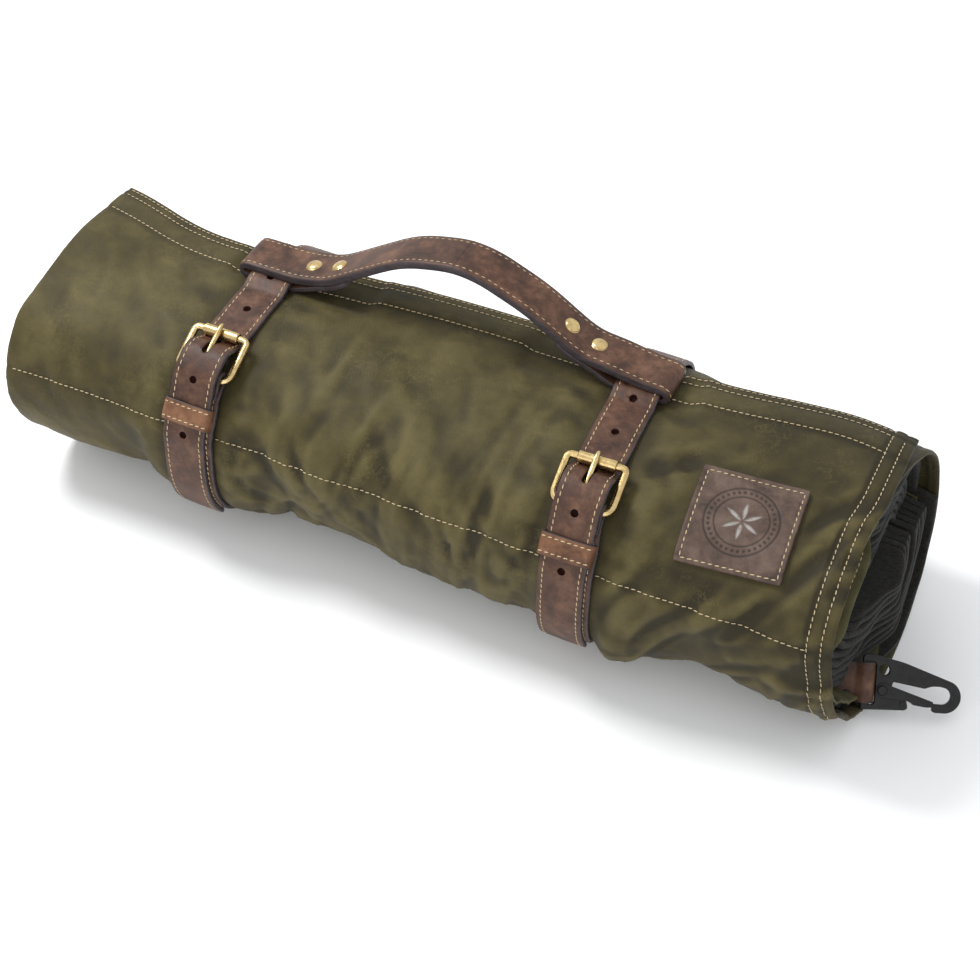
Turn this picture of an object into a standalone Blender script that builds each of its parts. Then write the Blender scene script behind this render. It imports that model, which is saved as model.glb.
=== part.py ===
"""Rolled-up canvas tool roll with two buckled belts, a strap handle and a snap hook.

Units are metres. +X runs along the roll towards the snap hook, -Y is the buckle side, +Z is up,
and the origin is on the ground under the middle of the whole thing.
"""
import math

import bmesh
import bpy
import numpy as np
from mathutils import Matrix, Vector

MM = 0.001
GAP = 0.3 * MM

# the roll
ROLL_LEFT = -266.7 * MM
ROLL_RIGHT = 211.3 * MM
ROLL_Y = 1.5 * MM
HALF_DEPTH = 83 * MM
HALF_HEIGHT = 57.4 * MM
BOTTOM_BULGE = 59 * MM
ROUND_TOP = 2.6
ROUND_BOTTOM = 2.2

CANVAS = 2.4 * MM
FELT = 3.0 * MM
POCKET = 1.8 * MM
ROLL_OVERLAP = 0.3
FLAP_EDGE = -45 * MM
SINK = 110 * MM
INNER_END = 206.5 * MM

# the belts
BELT = 2.4 * MM
BELT_WIDTH = 25 * MM
ROLL_Z = HALF_HEIGHT + GAP + BELT
BELTS = {"left": (-148.6 * MM, 0.0), "right": (68.7 * MM, math.radians(2.75))}
BELT_PIVOT_Y = -34 * MM + ROLL_Y
HOLE_SPACING = 25.4 * MM
FIRST_HOLE = -10.6 * MM
HOLE_RADIUS = 2.1 * MM
TAIL_END = 158 * MM

# the buckles
ROLLER_AT = 38.5 * MM
ROLLER_HEIGHT = 8.2 * MM
HEEL_HEIGHT = 5.7 * MM
BAR_TO_BAR = 25 * MM
WIRE = 2.0 * MM
RAIL = 15.8 * MM
BUCKLE_CORNER = 3.6 * MM
ROLLER_OUTER = 3.2 * MM
ROLLER_INNER = 2.4 * MM
ROLLER_LENGTH = 20.5 * MM
PRONG = 1.5 * MM
PRONG_RING = WIRE + 0.2 * MM + PRONG
PRONG_OVER = 4 * MM

# the keepers
KEEPER_AT = 81 * MM
KEEPER_LENGTH = 12 * MM
KEEPER = 1.3 * MM
KEEPER_PLAY = 0.5 * MM

# the handle
HANDLE_Y = 29 * MM + ROLL_Y
HANDLE_WIDTH = 25 * MM
STRAP = 4.2 * MM
TURN_BACK = 2.8 * MM
LOOP_FLOOR = ROLL_Z + HALF_HEIGHT + 0.2 * MM
BELT_IN_LOOP = LOOP_FLOOR + TURN_BACK + GAP + 0.3 * MM
JOIN_LEFT = -98.4 * MM
JOIN_RIGHT = 14.7 * MM
JOIN_GAP = 0.6 * MM
RIVETS = {"1": -127 * MM, "2": -110.6 * MM, "3": 22.1 * MM, "4": 38.6 * MM}
RIVET_HEAD = 4.5 * MM
RIVET_SHANK = 1.6 * MM

# the patch
PATCH_X = 146.3 * MM
PATCH_SIZE = 53 * MM
PATCH_START = 12 * MM
PATCH = 2.4 * MM

# the snap hook and its leather tab
HOOK_AT = Vector((219 * MM, -29.8 * MM + ROLL_Y, 18.3 * MM))
HOOK_ALONG = Vector((0.92, 0.39, -0.05))
HOOK_ACROSS = Vector((-0.25, 0.68, 0.69))
PLATE = 3.0 * MM
TAB_WIDTH = 21 * MM
TAB = 2.2 * MM
TAB_LENGTH = 28 * MM
BAR_CLEAR = 2.7 * MM
GATE_PIVOT = (8.8 * MM, -3.5 * MM)
STOP_PIN = (19.7 * MM, -9.7 * MM)

MODEL = "carving_tool_roll"


# ---------------------------------------------------------------- scene helpers
def clear_scene():
    for item in list(bpy.data.objects):
        bpy.data.objects.remove(item, do_unlink=True)


def new_collection(name):
    group = bpy.data.collections.new(name)
    bpy.context.scene.collection.children.link(group)
    return group


def material(name, colour, roughness, metallic=0.0):
    made = bpy.data.materials.new(name)
    made.use_nodes = True
    shader = made.node_tree.nodes["Principled BSDF"]
    shader.inputs["Base Color"].default_value = (*colour, 1)
    shader.inputs["Roughness"].default_value = roughness
    shader.inputs["Metallic"].default_value = metallic
    return made


def add_mesh(name, mesh, finish, matrix=None):
    """Link a mesh as a part, welded and with its faces turned outwards."""
    shape = bmesh.new()
    shape.from_mesh(mesh)
    bmesh.ops.remove_doubles(shape, verts=shape.verts, dist=1e-6)
    bmesh.ops.recalc_face_normals(shape, faces=shape.faces)
    shape.to_mesh(mesh)
    shape.free()
    part = bpy.data.objects.new(name, mesh)
    if matrix is not None:
        part.matrix_world = matrix
    parts.objects.link(part)
    if finish is not None:
        mesh.materials.clear()
        mesh.materials.append(finish)
    mesh.shade_smooth()
    mesh.set_sharp_from_angle(angle=math.radians(35))
    return part


def curve_mesh(curve):
    """The mesh of a curve, with its caps welded on."""
    holder = bpy.data.objects.new("curve_holder", curve)
    bpy.context.scene.collection.objects.link(holder)
    bpy.context.view_layer.update()
    evaluated = holder.evaluated_get(bpy.context.evaluated_depsgraph_get())
    mesh = bpy.data.meshes.new_from_object(evaluated)
    bpy.data.objects.remove(holder, do_unlink=True)
    return mesh


def poly_curve(outlines, dimensions, cyclic=True):
    curve = bpy.data.curves.new("outline", "CURVE")
    curve.dimensions = dimensions
    for outline in outlines:
        spline = curve.splines.new("POLY")
        spline.points.add(len(outline) - 1)
        for point, place in zip(spline.points, outline):
            point.co = (*place, 1) if len(place) == 3 else (*place, 0, 1)
        spline.use_cyclic_u = cyclic
    return curve


def corners_only(outline, limit=0.002 * MM):
    """The outline without the points that lie on a straight run, which the Booleans can't keep."""
    points = [np.asarray(point[:2], float) for point in outline]
    while True:
        kept = []
        for index, point in enumerate(points):
            before = kept[-1] if kept else points[-1]
            span = points[(index + 1) % len(points)] - before
            offset = point - before
            away = abs(span[0] * offset[1] - span[1] * offset[0]) / max(np.hypot(*span), 1e-12)
            if away > limit:
                kept.append(point)
        if len(kept) == len(points):
            return [tuple(point) for point in kept]
        points = kept


def slab(name, outlines, thickness, finish, matrix):
    """Flat outlines, holes included, given a thickness about their own plane."""
    curve = poly_curve([corners_only(outline) for outline in outlines], "2D")
    curve.fill_mode = "BOTH"
    curve.extrude = thickness / 2
    mesh = curve_mesh(curve)
    if len(outlines) == 1:
        merge_caps(mesh)
    return add_mesh(name, mesh, finish, matrix)


def merge_caps(mesh):
    """One face for each flat side, which the Booleans cut more cleanly than its triangles."""
    shape = bmesh.new()
    shape.from_mesh(mesh)
    bmesh.ops.remove_doubles(shape, verts=shape.verts, dist=1e-6)
    inside = [
        edge for edge in shape.edges
        if len(edge.link_faces) == 2 and all(abs(f.normal.z) > 0.9 for f in edge.link_faces)
    ]
    bmesh.ops.dissolve_edges(shape, edges=inside)
    shape.to_mesh(mesh)
    shape.free()


def wire(name, points, radius, finish, matrix, cyclic=False, resolution=3):
    curve = poly_curve([points], "3D", cyclic)
    curve.bevel_depth = radius
    curve.bevel_resolution = resolution
    curve.use_fill_caps = True
    return add_mesh(name, curve_mesh(curve), finish, matrix)


def turned(name, profile, finish, matrix, steps=24):
    """A profile of (radius, height) points, from the top down, turned about local Z."""
    mesh = bpy.data.meshes.new(name)
    edges = [(i, i + 1) for i in range(len(profile) - 1)]
    if profile[0] == profile[-1]:
        profile = profile[:-1]
        edges[-1] = (len(profile) - 1, 0)
    mesh.from_pydata([(r, 0, h) for r, h in profile], edges, [])
    part = bpy.data.objects.new(name, mesh)
    part.matrix_world = matrix
    parts.objects.link(part)
    mesh.materials.append(finish)
    screw = part.modifiers.new("turn", "SCREW")
    screw.steps = steps
    screw.render_steps = steps
    screw.use_merge_vertices = True
    screw.merge_threshold = 1e-6
    screw.use_smooth_shade = True
    return part


def cutter(name, mesh, matrix):
    tool = bpy.data.objects.new(name, mesh)
    tool.matrix_world = matrix
    cutters.objects.link(tool)
    tool.hide_render = True
    tool.display_type = "WIRE"
    return tool


def box_mesh(size):
    mesh = bpy.data.meshes.new("box")
    shape = bmesh.new()
    bmesh.ops.create_cube(shape, size=1.0)
    bmesh.ops.scale(shape, vec=size, verts=shape.verts)
    shape.to_mesh(mesh)
    shape.free()
    return mesh


def pin_mesh(radius, length, sides=20):
    mesh = bpy.data.meshes.new("pin")
    shape = bmesh.new()
    bmesh.ops.create_cone(
        shape, cap_ends=True, segments=sides, radius1=radius, radius2=radius, depth=length
    )
    shape.to_mesh(mesh)
    shape.free()
    return mesh


def cut(part, tool, operation="DIFFERENCE"):
    step = part.modifiers.new("cut_" + tool.name, "BOOLEAN")
    step.operation = operation
    step.solver = "EXACT"
    step.object = tool


# ---------------------------------------------------------------- the roll's section
def build_section(samples=1440):
    """Points round the canvas, from the top centre over the front, as Y, Z, arc length, normal."""
    turn = np.linspace(0, 2 * math.pi, samples, endpoint=False)
    sine, cosine = np.sin(turn), np.cos(turn)
    power = np.where(cosine > 0, ROUND_TOP, ROUND_BOTTOM)
    height = np.where(cosine > 0, HALF_HEIGHT, BOTTOM_BULGE)
    y = -HALF_DEPTH * np.sign(sine) * np.abs(sine) ** (2 / power)
    z = height * np.sign(cosine) * np.abs(cosine) ** (2 / power)
    z = np.maximum(z, -HALF_HEIGHT)
    line = np.column_stack([y + ROLL_Y, z + ROLL_Z])
    closed = np.vstack([line, line[:1]])
    steps = np.linalg.norm(np.diff(closed, axis=0), axis=1)
    arc = np.concatenate([[0], np.cumsum(steps)])
    even = np.linspace(0, arc[-1], samples + 1)
    line = np.column_stack([np.interp(even, arc, closed[:, k]) for k in (0, 1)])[:-1]
    tangent = np.roll(line, -6, axis=0) - np.roll(line, 6, axis=0)
    tangent /= np.linalg.norm(tangent, axis=1)[:, None]
    normal = np.column_stack([-tangent[:, 1], tangent[:, 0]])
    return line, -normal, arc[-1]


LINE, NORMAL, AROUND = build_section()


def on_section(distance, height=0.0):
    """The Y, Z point at an arc distance from the top centre, raised off the canvas."""
    place = (np.asarray(distance, float) % AROUND) / AROUND * len(LINE)
    low = np.floor(place).astype(int) % len(LINE)
    high = (low + 1) % len(LINE)
    part = (place - np.floor(place))[..., None]
    base = LINE[low] * (1 - part) + LINE[high] * part
    normal = NORMAL[low] * (1 - part) + NORMAL[high] * part
    return base + normal * np.asarray(height, float)[..., None]


def smooth(value):
    value = np.clip(value, 0, 1)
    return value * value * (3 - 2 * value)


def ribbon(path, thickness, square_ends=False):
    """The outline of a strip of the given thickness along the middle line."""
    path = np.asarray(path, float)
    tangent = np.gradient(path, axis=0)
    tangent /= np.linalg.norm(tangent, axis=1)[:, None]
    normal = np.column_stack([-tangent[:, 1], tangent[:, 0]])
    half = np.broadcast_to(np.asarray(thickness, float) / 2, (len(path),)).copy()
    if square_ends:
        for end in (0, -1):
            lean = abs(tangent[end, 0])
            normal[end] = (0, math.copysign(1, normal[end, 1]))
            half[end] /= lean
    return np.vstack([path + normal * half[:, None], (path - normal * half[:, None])[::-1]])


# local X, Y, Z of a flat outline become world Y, Z, X
ALONG_X = Matrix(((0, 0, 1, 0), (1, 0, 0, 0), (0, 1, 0, 0), (0, 0, 0, 1)))
# local X, Y, Z of a flat outline become world X, Z, -Y
ALONG_Y = Matrix(((1, 0, 0, 0), (0, 0, -1, 0), (0, 1, 0, 0), (0, 0, 0, 1)))


def strip_along_x(name, outline, start, end, finish):
    matrix = Matrix.Translation(((start + end) / 2, 0, 0)) @ ALONG_X
    return slab(name, [outline], end - start, finish, matrix)


# ---------------------------------------------------------------- cloth
def wound_depth(distance):
    """How far the cloth has sunk under its own flap after winding this far from the flap edge."""
    wound = distance - FLAP_EDGE
    layer = CANVAS + GAP + FELT + GAP
    return layer * smooth((wound - (AROUND - SINK)) / SINK)


def wound_strip(depth, thickness, step=6 * MM):
    length = AROUND * (1 + ROLL_OVERLAP)
    distance = np.linspace(FLAP_EDGE, FLAP_EDGE + length, int(length / step))
    height = -wound_depth(distance) - depth - thickness / 2
    return ribbon(on_section(distance, height), thickness)


def inner_depth(distance):
    """Depth of the free space inside the wound canvas and felt."""
    layer = CANVAS + GAP + FELT + GAP
    lap_end = FLAP_EDGE + AROUND * ROLL_OVERLAP
    place = (distance - FLAP_EDGE) % AROUND + FLAP_EDGE
    rise = 1 - smooth((place - lap_end - 6 * MM) / (50 * MM))
    sink = smooth((place - (FLAP_EDGE + AROUND - SINK - 12 * MM)) / (SINK - 12 * MM))
    return layer * (1 + np.maximum(rise, sink))


def make_cloth():
    canvas = wound_strip(0, CANVAS)
    outer = strip_along_x("outer_canvas", canvas, ROLL_LEFT, ROLL_RIGHT, olive)
    felt = wound_strip(CANVAS + GAP, FELT)
    lining = strip_along_x("felt_lining", felt, ROLL_LEFT + 3 * MM, INNER_END, charcoal)
    distance = np.linspace(FLAP_EDGE + 8 * MM, FLAP_EDGE + AROUND - 8 * MM, 72)
    height = -inner_depth(distance) - POCKET / 2
    pocket = ribbon(on_section(distance, height), POCKET)
    pocket = strip_along_x("pocket_canvas", pocket, ROLL_LEFT + 6 * MM, INNER_END, olive_inner)
    distance = np.linspace(0, AROUND, 72, endpoint=False)
    core = on_section(distance, -inner_depth(distance) - POCKET - GAP)
    core = strip_along_x("rolled_felt_core", core, ROLL_LEFT + 14 * MM, INNER_END, charcoal)
    return [outer, lining, pocket, core]


# ---------------------------------------------------------------- belts and buckles
def belt_lean(side):
    """Places a belt drawn about X = 0; the right one slants a little round the roll."""
    middle, lean = BELTS[side]
    slant = math.tan(lean)
    matrix = Matrix.Translation((middle + slant * BELT_PIVOT_Y, 0, 0))
    matrix[0][1] = -slant
    return matrix


def on_belt(side, frame):
    """A frame with Y along the belt and Z out of it, turned to follow that belt's slant."""
    lean = belt_lean(side)
    along = (lean.to_3x3() @ frame.col[1].to_3d()).normalized()
    out = frame.col[2].to_3d().normalized()
    turned_frame = Matrix((along.cross(out), along, out)).transposed().to_4x4()
    return Matrix.Translation(lean @ frame.to_translation()) @ turned_frame


def buckle_matrix():
    """Local X across the belt, Y from the roller bar down to the heel bar, Z outwards."""
    roller = on_section(ROLLER_AT, ROLLER_HEIGHT)
    span = np.linspace(20 * MM, 32 * MM, 600)
    heels = on_section(ROLLER_AT + span, HEEL_HEIGHT)
    reach = np.linalg.norm(heels - roller, axis=1)
    heel = heels[int(np.argmin(abs(reach - BAR_TO_BAR)))]
    down = (heel - roller) / np.linalg.norm(heel - roller)
    along = Vector((0, down[0], down[1]))
    out = Vector((1, 0, 0)).cross(along)
    if out.z < 0:
        out = -out
    across = along.cross(out)
    frame = Matrix((across, along, out)).transposed().to_4x4()
    return Matrix.Translation((0, roller[0], roller[1])) @ frame


BUCKLE = buckle_matrix()


def in_buckle(along, out):
    """The Y, Z point at a place along and out from the buckle's plane."""
    place = BUCKLE @ Vector((0, along, out))
    return (place.y, place.z)


def smooth_path(points, passes=3, step=1.0 * MM):
    """Even spacing, then a short running mean that leaves both ends alone."""
    points = np.asarray(points, float)
    arc = np.concatenate([[0], np.cumsum(np.linalg.norm(np.diff(points, axis=0), axis=1))])
    even = np.linspace(0, arc[-1], int(arc[-1] / step))
    points = np.column_stack([np.interp(even, arc, points[:, k]) for k in (0, 1)])
    for _ in range(passes):
        points[1:-1] = (points[:-2] + points[1:-1] * 2 + points[2:]) / 4
    return points


def under_keeper(distance):
    """Extra height of the belt where the keeper passes under it."""
    away = np.abs(distance - KEEPER_AT) - KEEPER_LENGTH / 2 - 5 * MM
    return (KEEPER + KEEPER_PLAY) * (1 - smooth(away / (10 * MM)))


def belt_path():
    """Middle line of the belt, from its fold on the heel bar, round the roll, to the tail's end."""
    half = BELT / 2
    fold = WIRE + 1.0 * MM + half
    heel = BAR_TO_BAR
    chape_end = 71 * MM
    chape = np.linspace(chape_end, chape_end - 3 * MM, 3)
    first = on_section(chape, BELT * 1.5 + 2 * GAP + 1.3 * MM)
    turn = [
        in_buckle(heel + fold * math.cos(a), fold * math.sin(a))
        for a in np.radians(np.linspace(85, 275, 20))
    ]
    inner_start = ROLLER_AT + BAR_TO_BAR + 6 * MM
    distance = np.arange(inner_start, AROUND + ROLLER_AT - 13 * MM, 2 * MM)
    height = GAP + half + np.where(distance < AROUND / 2, under_keeper(distance), 0)
    run = on_section(distance, height)
    beside = np.maximum(abs(run[:, 0] - HANDLE_Y) - HANDLE_WIDTH / 2 - 1 * MM, 0)
    lifted = BELT_IN_LOOP + half - beside * 0.3 - beside**2 / (28 * MM)
    over_top = distance > AROUND * 0.8
    run[over_top, 1] = np.maximum(run, lifted[:, None])[over_top, 1]
    under_roller = -ROLLER_OUTER - 1.2 * MM - half
    weave = [
        on_section(ROLLER_AT - 7 * MM, GAP + half + 0.9 * MM),
        in_buckle(-2 * MM, under_roller),
        in_buckle(1.5 * MM, under_roller + 0.5 * MM),
        in_buckle(5.5 * MM, -1.4 * MM),
        in_buckle(9 * MM, 4.6 * MM),
        in_buckle(13 * MM, 7.7 * MM),
        in_buckle(18 * MM, 8.3 * MM),
        in_buckle(heel, fold + half + GAP + half + 0.8 * MM),
        in_buckle(heel + 4 * MM, fold + half + GAP + half - 0.2 * MM),
    ]
    lay = np.arange(ROLLER_AT + BAR_TO_BAR + 13 * MM, TAIL_END, 2 * MM)
    over_chape = (BELT + 0.5 * MM) * (1 - smooth((lay - chape_end) / (7 * MM)))
    tail = on_section(lay, 1.5 * BELT + 3 * GAP + under_keeper(lay) + over_chape)
    return np.vstack([smooth_path(np.vstack([first, turn, run, weave, tail]), passes=6)])


def thin_path(path, bend=math.radians(5), longest=7 * MM):
    """Drops points from straight stretches."""
    kept = [0]
    for i in range(1, len(path) - 1):
        a = path[i] - path[kept[-1]]
        b = path[i + 1] - path[i]
        first = path[kept[-1] + 1] - path[kept[-1]]
        angle = abs(math.atan2(first[0] * b[1] - first[1] * b[0], float(np.dot(first, b))))
        if angle > bend or np.linalg.norm(a) > longest:
            kept.append(i)
    kept.append(len(path) - 1)
    return path[kept]


def make_belt(side):
    outline = ribbon(thin_path(belt_path()), BELT)
    belt = slab("belt_" + side, [outline], BELT_WIDTH, leather, ALONG_X)
    belt.data.transform(belt_lean(side) @ ALONG_X)
    belt.matrix_world = Matrix()
    for number in (0, 1, 3, 4):
        at = FIRST_HOLE + number * HOLE_SPACING
        foot, top = on_section(at, 0.5 * BELT + GAP), on_section(at, 12 * MM)
        if number > 1:
            foot = on_section(at, BELT + 1.2 * GAP + float(under_keeper(at)) * 0.98)
        middle = Vector((0, *((foot + top) / 2)))
        axis = Vector((0, *(top - foot)))
        if number < 2:
            axis *= 2
        out = axis.normalized()
        frame = Matrix((Vector((1, 0, 0)), out.cross(Vector((1, 0, 0))), out))
        frame = Matrix.Translation(middle) @ frame.transposed().to_4x4()
        hole = pin_mesh(HOLE_RADIUS, axis.length, sides=16)
        cut(belt, cutter(f"hole_{side}_{number}", hole, on_belt(side, frame)))
    place = on_belt(side, BUCKLE)
    prong_slot = box_mesh((2 * PRONG + 1.0 * MM, 12.5 * MM, 19 * MM))
    matrix = place @ Matrix.Translation((0, 9.5 * MM, 1.2 * MM))
    cut(belt, cutter("prong_slot_" + side, prong_slot, matrix))
    ring_slot = box_mesh((2 * PRONG + 1.6 * MM, 14 * MM, 11.2 * MM))
    matrix = place @ Matrix.Translation((0, BAR_TO_BAR, -0.3 * MM))
    cut(belt, cutter("ring_slot_" + side, ring_slot, matrix))
    return belt


def rounded_rectangle(half_x, half_y, corner, steps=4):
    points = []
    for start, cx, cy in ((0, 1, 1), (90, -1, 1), (180, -1, -1), (270, 1, -1)):
        for a in np.radians(np.linspace(start, start + 90, steps + 1)):
            x = cx * (half_x - corner) + corner * math.cos(a)
            y = cy * (half_y - corner) + corner * math.sin(a)
            points.append((x, y))
    return points


def make_buckle(side):
    place = on_belt(side, BUCKLE)
    ring = rounded_rectangle(RAIL, BAR_TO_BAR / 2, BUCKLE_CORNER)
    ring = [(x, y + BAR_TO_BAR / 2, 0) for x, y in ring]
    wire("buckle_frame_" + side, ring, WIRE, brass, place, cyclic=True)

    half = ROLLER_LENGTH / 2
    profile = [
        (ROLLER_OUTER, half),
        (ROLLER_OUTER, -half),
        (ROLLER_INNER, -half),
        (ROLLER_INNER, half),
        (ROLLER_OUTER, half),
    ]
    across = Matrix.Rotation(math.radians(90), 4, "Y")
    turned("buckle_roller_" + side, profile, brass, place @ across, steps=20)

    top = ROLLER_OUTER + 0.25 * MM + PRONG
    wrap = [
        (0, BAR_TO_BAR + PRONG_RING * math.cos(a), PRONG_RING * math.sin(a))
        for a in np.radians(np.linspace(-210, 90, 16))
    ]
    reach = [
        (0, BAR_TO_BAR - 5 * MM, PRONG_RING + 0.2 * MM),
        (0, 4 * MM, top - 0.1 * MM),
        (0, -2 * MM, top),
        (0, -PRONG_OVER, top - 0.5 * MM),
    ]
    return wire("buckle_prong_" + side, wrap + reach, PRONG, brass, place, resolution=2)


def keeper_matrix():
    """Local X across the belt, Y down along it, Z outwards."""
    base, top = on_section(KEEPER_AT, 0.0), on_section(KEEPER_AT, 1.0)
    out = Vector((0, *(top - base))).normalized()
    across = Vector((1, 0, 0))
    frame = Matrix((across, out.cross(across), out)).transposed().to_4x4()
    return Matrix.Translation((0, base[0], base[1])) @ frame


def make_keeper(side):
    low = GAP + KEEPER + KEEPER_PLAY - 0.2 * MM
    stack = 2 * BELT + GAP + 2 * KEEPER_PLAY + 0.4 * MM
    inner_x = BELT_WIDTH / 2 + KEEPER_PLAY
    middle = low + stack / 2 - 0.4 * MM
    hole = rounded_rectangle(inner_x, stack / 2, 0.3 * MM, steps=2)
    rim = rounded_rectangle(inner_x + KEEPER, stack / 2 + KEEPER, 2.0 * MM, steps=3)
    outlines = [[(x, y + middle) for x, y in loop] for loop in (rim, hole)]
    stand = Matrix.Rotation(math.radians(90), 4, "X")
    matrix = on_belt(side, keeper_matrix()) @ stand
    return slab("keeper_" + side, outlines, KEEPER_LENGTH, tan_leather, matrix)


# ---------------------------------------------------------------- handle
# the strap's top side, as distance along the roll and height over the ground
HANDLE_TOP = [
    (-168.7, 127.8), (-160.7, 127.8), (-147.7, 127.9), (-137.7, 128.2), (-128.7, 129.6),
    (-118.7, 132.2), (-110.7, 135.6), (-91.7, 146.6), (-73.7, 156.3), (-55.7, 162),
    (-38.4, 164.8), (-21.2, 162), (-4, 154.4), (13.3, 143.6), (21.9, 138),
    (30.3, 133), (39.3, 129.9), (56, 128.6), (69.3, 128), (87.3, 127.8),
]


def spline(points, step=4 * MM):
    """A smooth line through the points (Catmull-Rom), evenly spaced."""
    p = np.asarray(points, float)
    p = np.vstack([2 * p[0] - p[1], p, 2 * p[-1] - p[-2]])
    fine = []
    for a, b, c, d in zip(p[:-3], p[1:-2], p[2:-1], p[3:]):
        for t in np.linspace(0, 1, 12, endpoint=False):
            fine.append(
                0.5 * (2 * b + (c - a) * t + (2 * a - 5 * b + 4 * c - d) * t**2
                       + (3 * b - a - 3 * c + d) * t**3)
            )
    fine.append(p[-2])
    return smooth_path(fine, passes=0, step=step)


def strap_middle():
    """Middle line of the strap's upper layer."""
    top = spline(np.array(HANDLE_TOP) * MM, step=3 * MM)
    tangent = np.gradient(top, axis=0)
    tangent /= np.linalg.norm(tangent, axis=1)[:, None]
    normal = np.column_stack([-tangent[:, 1], tangent[:, 0]])
    return top - normal * STRAP / 2


def at_x(path, x):
    order = np.argsort(path[:, 0])
    return np.array([x, np.interp(x, path[order, 0], path[order, 1])])


def strip_along_y(name, outline, finish):
    matrix = Matrix.Translation((0, HANDLE_Y, 0)) @ ALONG_Y
    return slab(name, [outline], HANDLE_WIDTH, finish, matrix)


def make_grip(middle):
    inside = (middle[:, 0] > JOIN_LEFT + 2 * MM) & (middle[:, 0] < JOIN_RIGHT - 2 * MM)
    path = np.vstack([at_x(middle, JOIN_LEFT), middle[inside], at_x(middle, JOIN_RIGHT)])
    return strip_along_y("handle_grip", ribbon(path, STRAP, square_ends=True), leather)


def make_loop(side, middle):
    """One end of the strap, folded round its belt and back under itself."""
    sign = -1 if side == "left" else 1
    join = (JOIN_LEFT if side == "left" else JOIN_RIGHT) + sign * JOIN_GAP
    outside = sign * (middle[:, 0] - join) > 2 * MM
    upper = middle[outside]
    if side == "left":
        upper = upper[::-1]
    upper = np.vstack([at_x(middle, join), upper])
    floor = LOOP_FLOOR + TURN_BACK / 2
    middle_of_belt = BELTS[side][0] - math.sin(BELTS[side][1]) * (HANDLE_Y - BELT_PIVOT_Y)
    spare = 3.0 * MM if side == "left" else 0.8 * MM
    far = middle_of_belt + sign * (BELT_WIDTH / 2 + spare)
    upper = upper[sign * (far - upper[:, 0]) > 0]
    radius = (upper[-1, 1] - floor) / 2
    turn = [
        (far + sign * radius * math.cos(a), floor + radius + radius * math.sin(a))
        for a in np.radians(np.linspace(80, -80, 9))
    ]
    near = middle_of_belt - sign * (BELT_WIDTH / 2 + 1.0 * MM)
    apart = (STRAP + TURN_BACK) / 2 + GAP + 0.2 * MM
    back = []
    for x in np.linspace(near - sign * 16 * MM, join, 8):
        low = at_x(middle, x)
        ahead = at_x(middle, x + 1 * MM)
        lean = math.hypot(1, (ahead[1] - low[1]) / MM)
        back.append((x, max(low[1] - apart * lean, floor)))
    path = np.vstack([upper, turn, [(far, floor), (middle_of_belt, floor), (near, floor)], back])
    path = smooth_path(path, passes=2, step=1.2 * MM)
    ends = np.linspace(0, 1, len(path))
    thickness = STRAP + (TURN_BACK - STRAP) * smooth((ends - 0.42) / 0.12)
    path = path[::2] if len(path) % 2 else np.vstack([path[:-1:2], path[-1:]])
    thickness = np.interp(np.linspace(0, 1, len(path)), ends, thickness)
    loop = strip_along_y("handle_loop_" + side, ribbon(path, thickness, True), leather)
    return loop


def rivet_matrix(x, middle):
    """Local Z out through the strap, at the strap's middle line."""
    here, ahead = at_x(middle, x), at_x(middle, x + 1 * MM)
    along = Vector((ahead[0] - here[0], 0, ahead[1] - here[1])).normalized()
    out = Vector((-along.z, 0, along.x))
    frame = Matrix((along, out.cross(along), out)).transposed().to_4x4()
    return Matrix.Translation((here[0], HANDLE_Y, here[1])) @ frame


def make_rivet(number, x, loop, middle):
    matrix = rivet_matrix(x, middle)
    top = STRAP / 2 + GAP + 0.3 * MM
    bottom = -STRAP / 2 - 2 * GAP - TURN_BACK
    profile = [
        (0, top + 1.9 * MM),
        (RIVET_HEAD * 0.55, top + 1.6 * MM),
        (RIVET_HEAD * 0.88, top + 0.9 * MM),
        (RIVET_HEAD, top),
        (RIVET_SHANK, top),
        (RIVET_SHANK, bottom),
        (0, bottom),
    ]
    turned("handle_rivet_" + number, profile, brass, matrix, steps=20)
    hole = pin_mesh(RIVET_SHANK + GAP, 40 * MM, sides=16)
    cut(loop, cutter("rivet_hole_" + number, hole, matrix))


def make_handle():
    middle = strap_middle()
    make_grip(middle)
    loops = {side: make_loop(side, middle) for side in ("left", "right")}
    for number, x in RIVETS.items():
        make_rivet(number, x, loops["left" if x < JOIN_LEFT else "right"], middle)


# ---------------------------------------------------------------- patch
def make_patch():
    distance = np.linspace(PATCH_START, PATCH_START + PATCH_SIZE, 16)
    outline = ribbon(on_section(distance, GAP + PATCH / 2), PATCH)
    start = PATCH_X - PATCH_SIZE / 2
    return strip_along_x("leather_patch", outline, start, start + PATCH_SIZE, leather)


# ---------------------------------------------------------------- snap hook
def hook_matrix():
    """Local X towards the hook's tip, Y across it, Z out of its flat face."""
    along = HOOK_ALONG.normalized()
    across = (HOOK_ACROSS - along * HOOK_ACROSS.dot(along)).normalized()
    frame = Matrix((along, across, along.cross(across))).transposed().to_4x4()
    return Matrix.Translation(HOOK_AT) @ frame


def arc_points(centre, radius, start, end, steps):
    return [
        (centre[0] + radius * math.cos(a), centre[1] + radius * math.sin(a))
        for a in np.radians(np.linspace(start, end, steps))
    ]


def scaled(points):
    return [(x * MM, y * MM) for x, y in points]


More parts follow.
